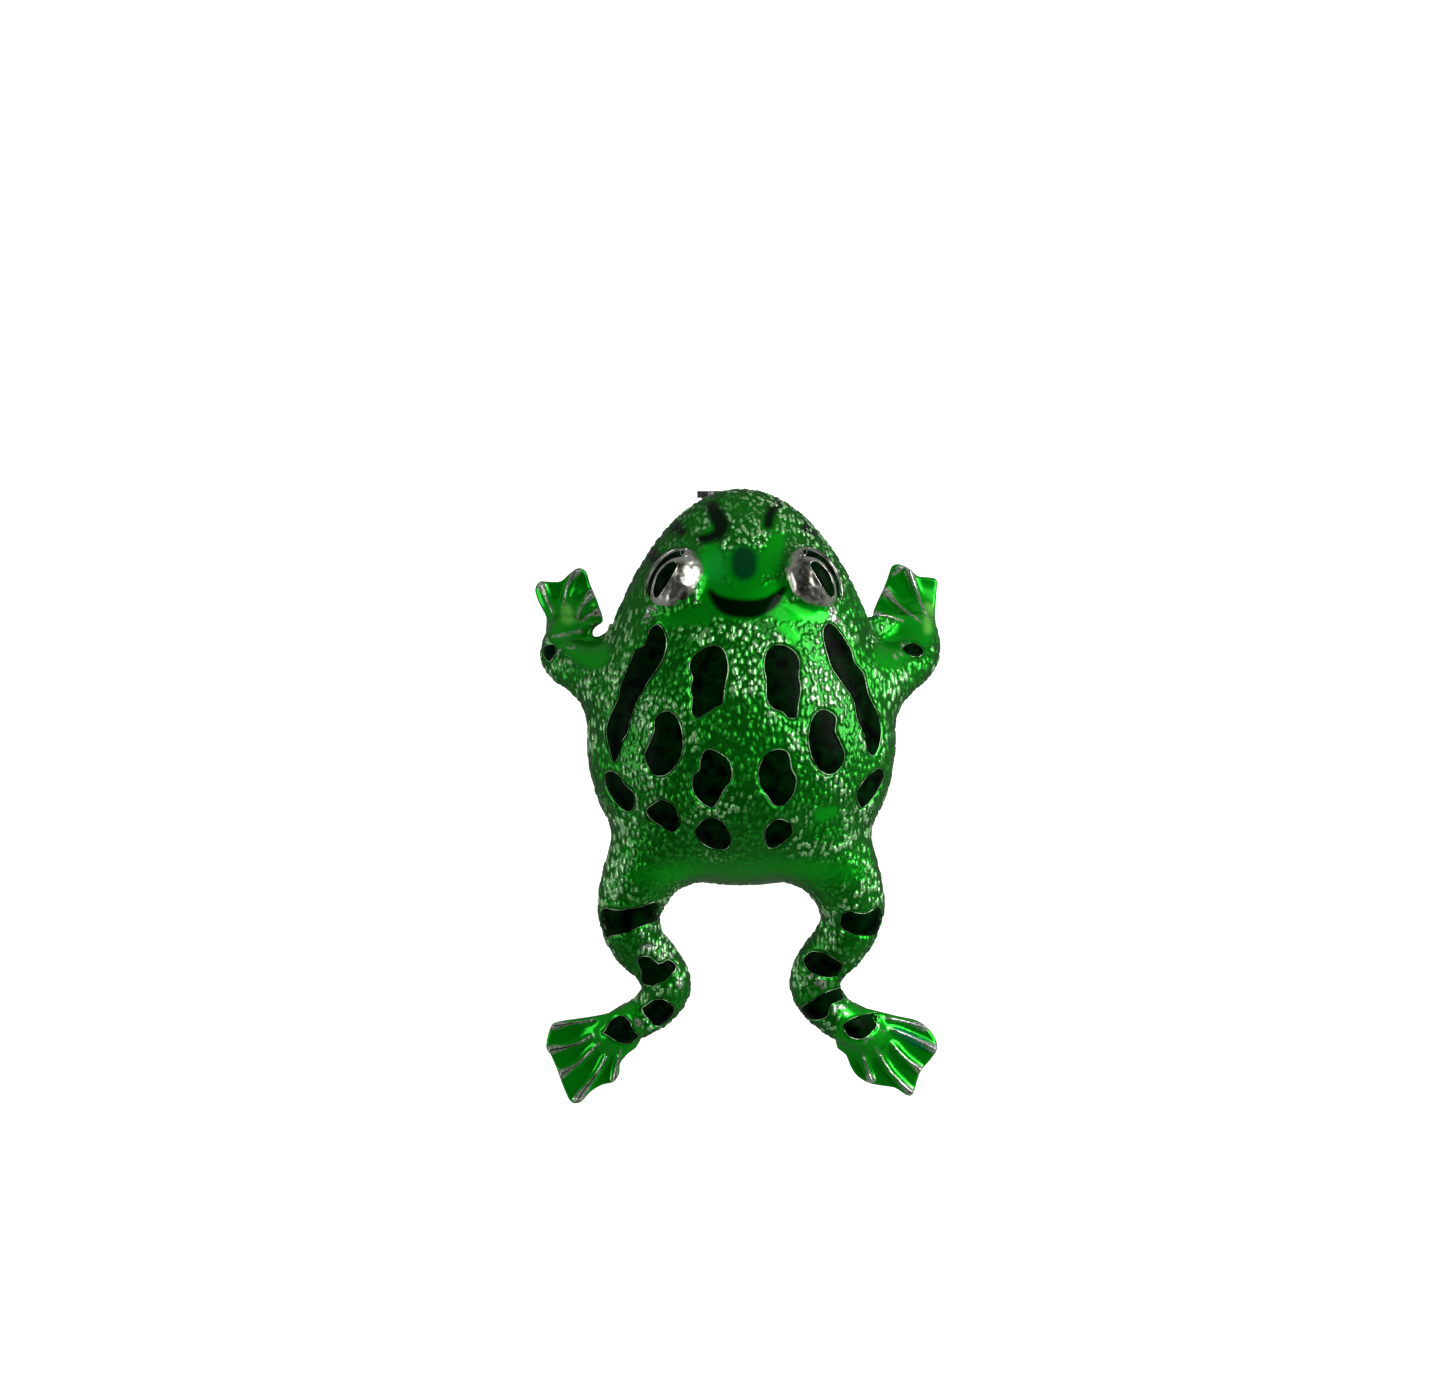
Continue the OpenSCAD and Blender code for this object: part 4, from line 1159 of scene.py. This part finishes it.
def soft_box(name, at, size, radiance):
    """Area light of a given brightness, so that its glints stay the same whatever its size."""
    data = bpy.data.lights.new(name, "AREA")
    data.shape = "RECTANGLE"
    data.size, data.size_y = size[0] * MM, size[1] * MM
    data.energy = radiance * math.pi * size[0] * size[1] * MM * MM
    obj = bpy.data.objects.new(name, data)
    obj.location = Vector(at) * MM
    obj.rotation_euler = (LIGHTS_AIM * MM - obj.location).to_track_quat("-Z", "Y").to_euler()
    bpy.context.scene.collection.objects.link(obj)


def make_world():
    """Dim overhead and pale round the horizon."""
    world = bpy.data.worlds.new("studio")
    world.use_nodes = True
    nodes, links = world.node_tree.nodes, world.node_tree.links
    place = node(nodes, "TexCoord")
    split = node(nodes, "SeparateXYZ")
    links.new(place.outputs["Generated"], split.inputs[0])
    stops = [(WORLD_FROM, (WORLD_LOW,) * 3), (WORLD_TO, (WORLD_HIGH,) * 3)]
    sky = ramp(nodes, links, split.outputs["Z"], stops)
    links.new(sky, nodes["Background"].inputs["Color"])
    bpy.context.scene.world = world


def make_studio():
    mesh = bpy.data.meshes.new("floor")
    half = 2.0
    corners = [(-half, -half, 0), (half, -half, 0), (half, half, 0), (-half, half, 0)]
    mesh.from_pydata(corners, [], [(0, 1, 2, 3)])
    floor = bpy.data.objects.new("floor", mesh)
    floor.location.z = GROUND_Z * MM
    bpy.context.scene.collection.objects.link(floor)
    floor.visible_glossy = False
    m, _, _, bsdf = new_material("pale_floor")
    set_inputs(bsdf, {"Base Color": (0.9, 0.9, 0.9, 1), "Roughness": 0.9, "Specular IOR Level": 0.1,
                      "Emission Color": (1, 1, 1, 1), "Emission Strength": FLOOR_GLOW})
    mesh.materials.append(m)
    make_world()
    soft_box("window", (260, 90, 170), (260, 160), 6.5)
    soft_box("skylight", (160, 130, 290), (260, 160), 1.7)
    soft_box("fill", (-280, -20, 130), (200, 120), 2.5)
    bpy.context.scene.view_settings.view_transform = "Standard"


def make_camera():
    """Straight above the frog, which sits a little below and right of the picture's middle."""
    data = bpy.data.cameras.new("camera")
    distance, wide = 900, 130.9
    data.sensor_width = 36
    data.lens = 36 * distance / wide
    data.clip_start, data.clip_end = 0.01, 10
    cam = bpy.data.objects.new("camera", data)
    cam.location = Vector((-1.7, 9.2, distance + 4)) * MM
    bpy.context.scene.collection.objects.link(cam)
    bpy.context.scene.camera = cam


make_studio()
make_camera()
make_skin(make_cells())
make_ribs()
make_eye(-1, "left")
make_eye(1, "right")
dress_findings()
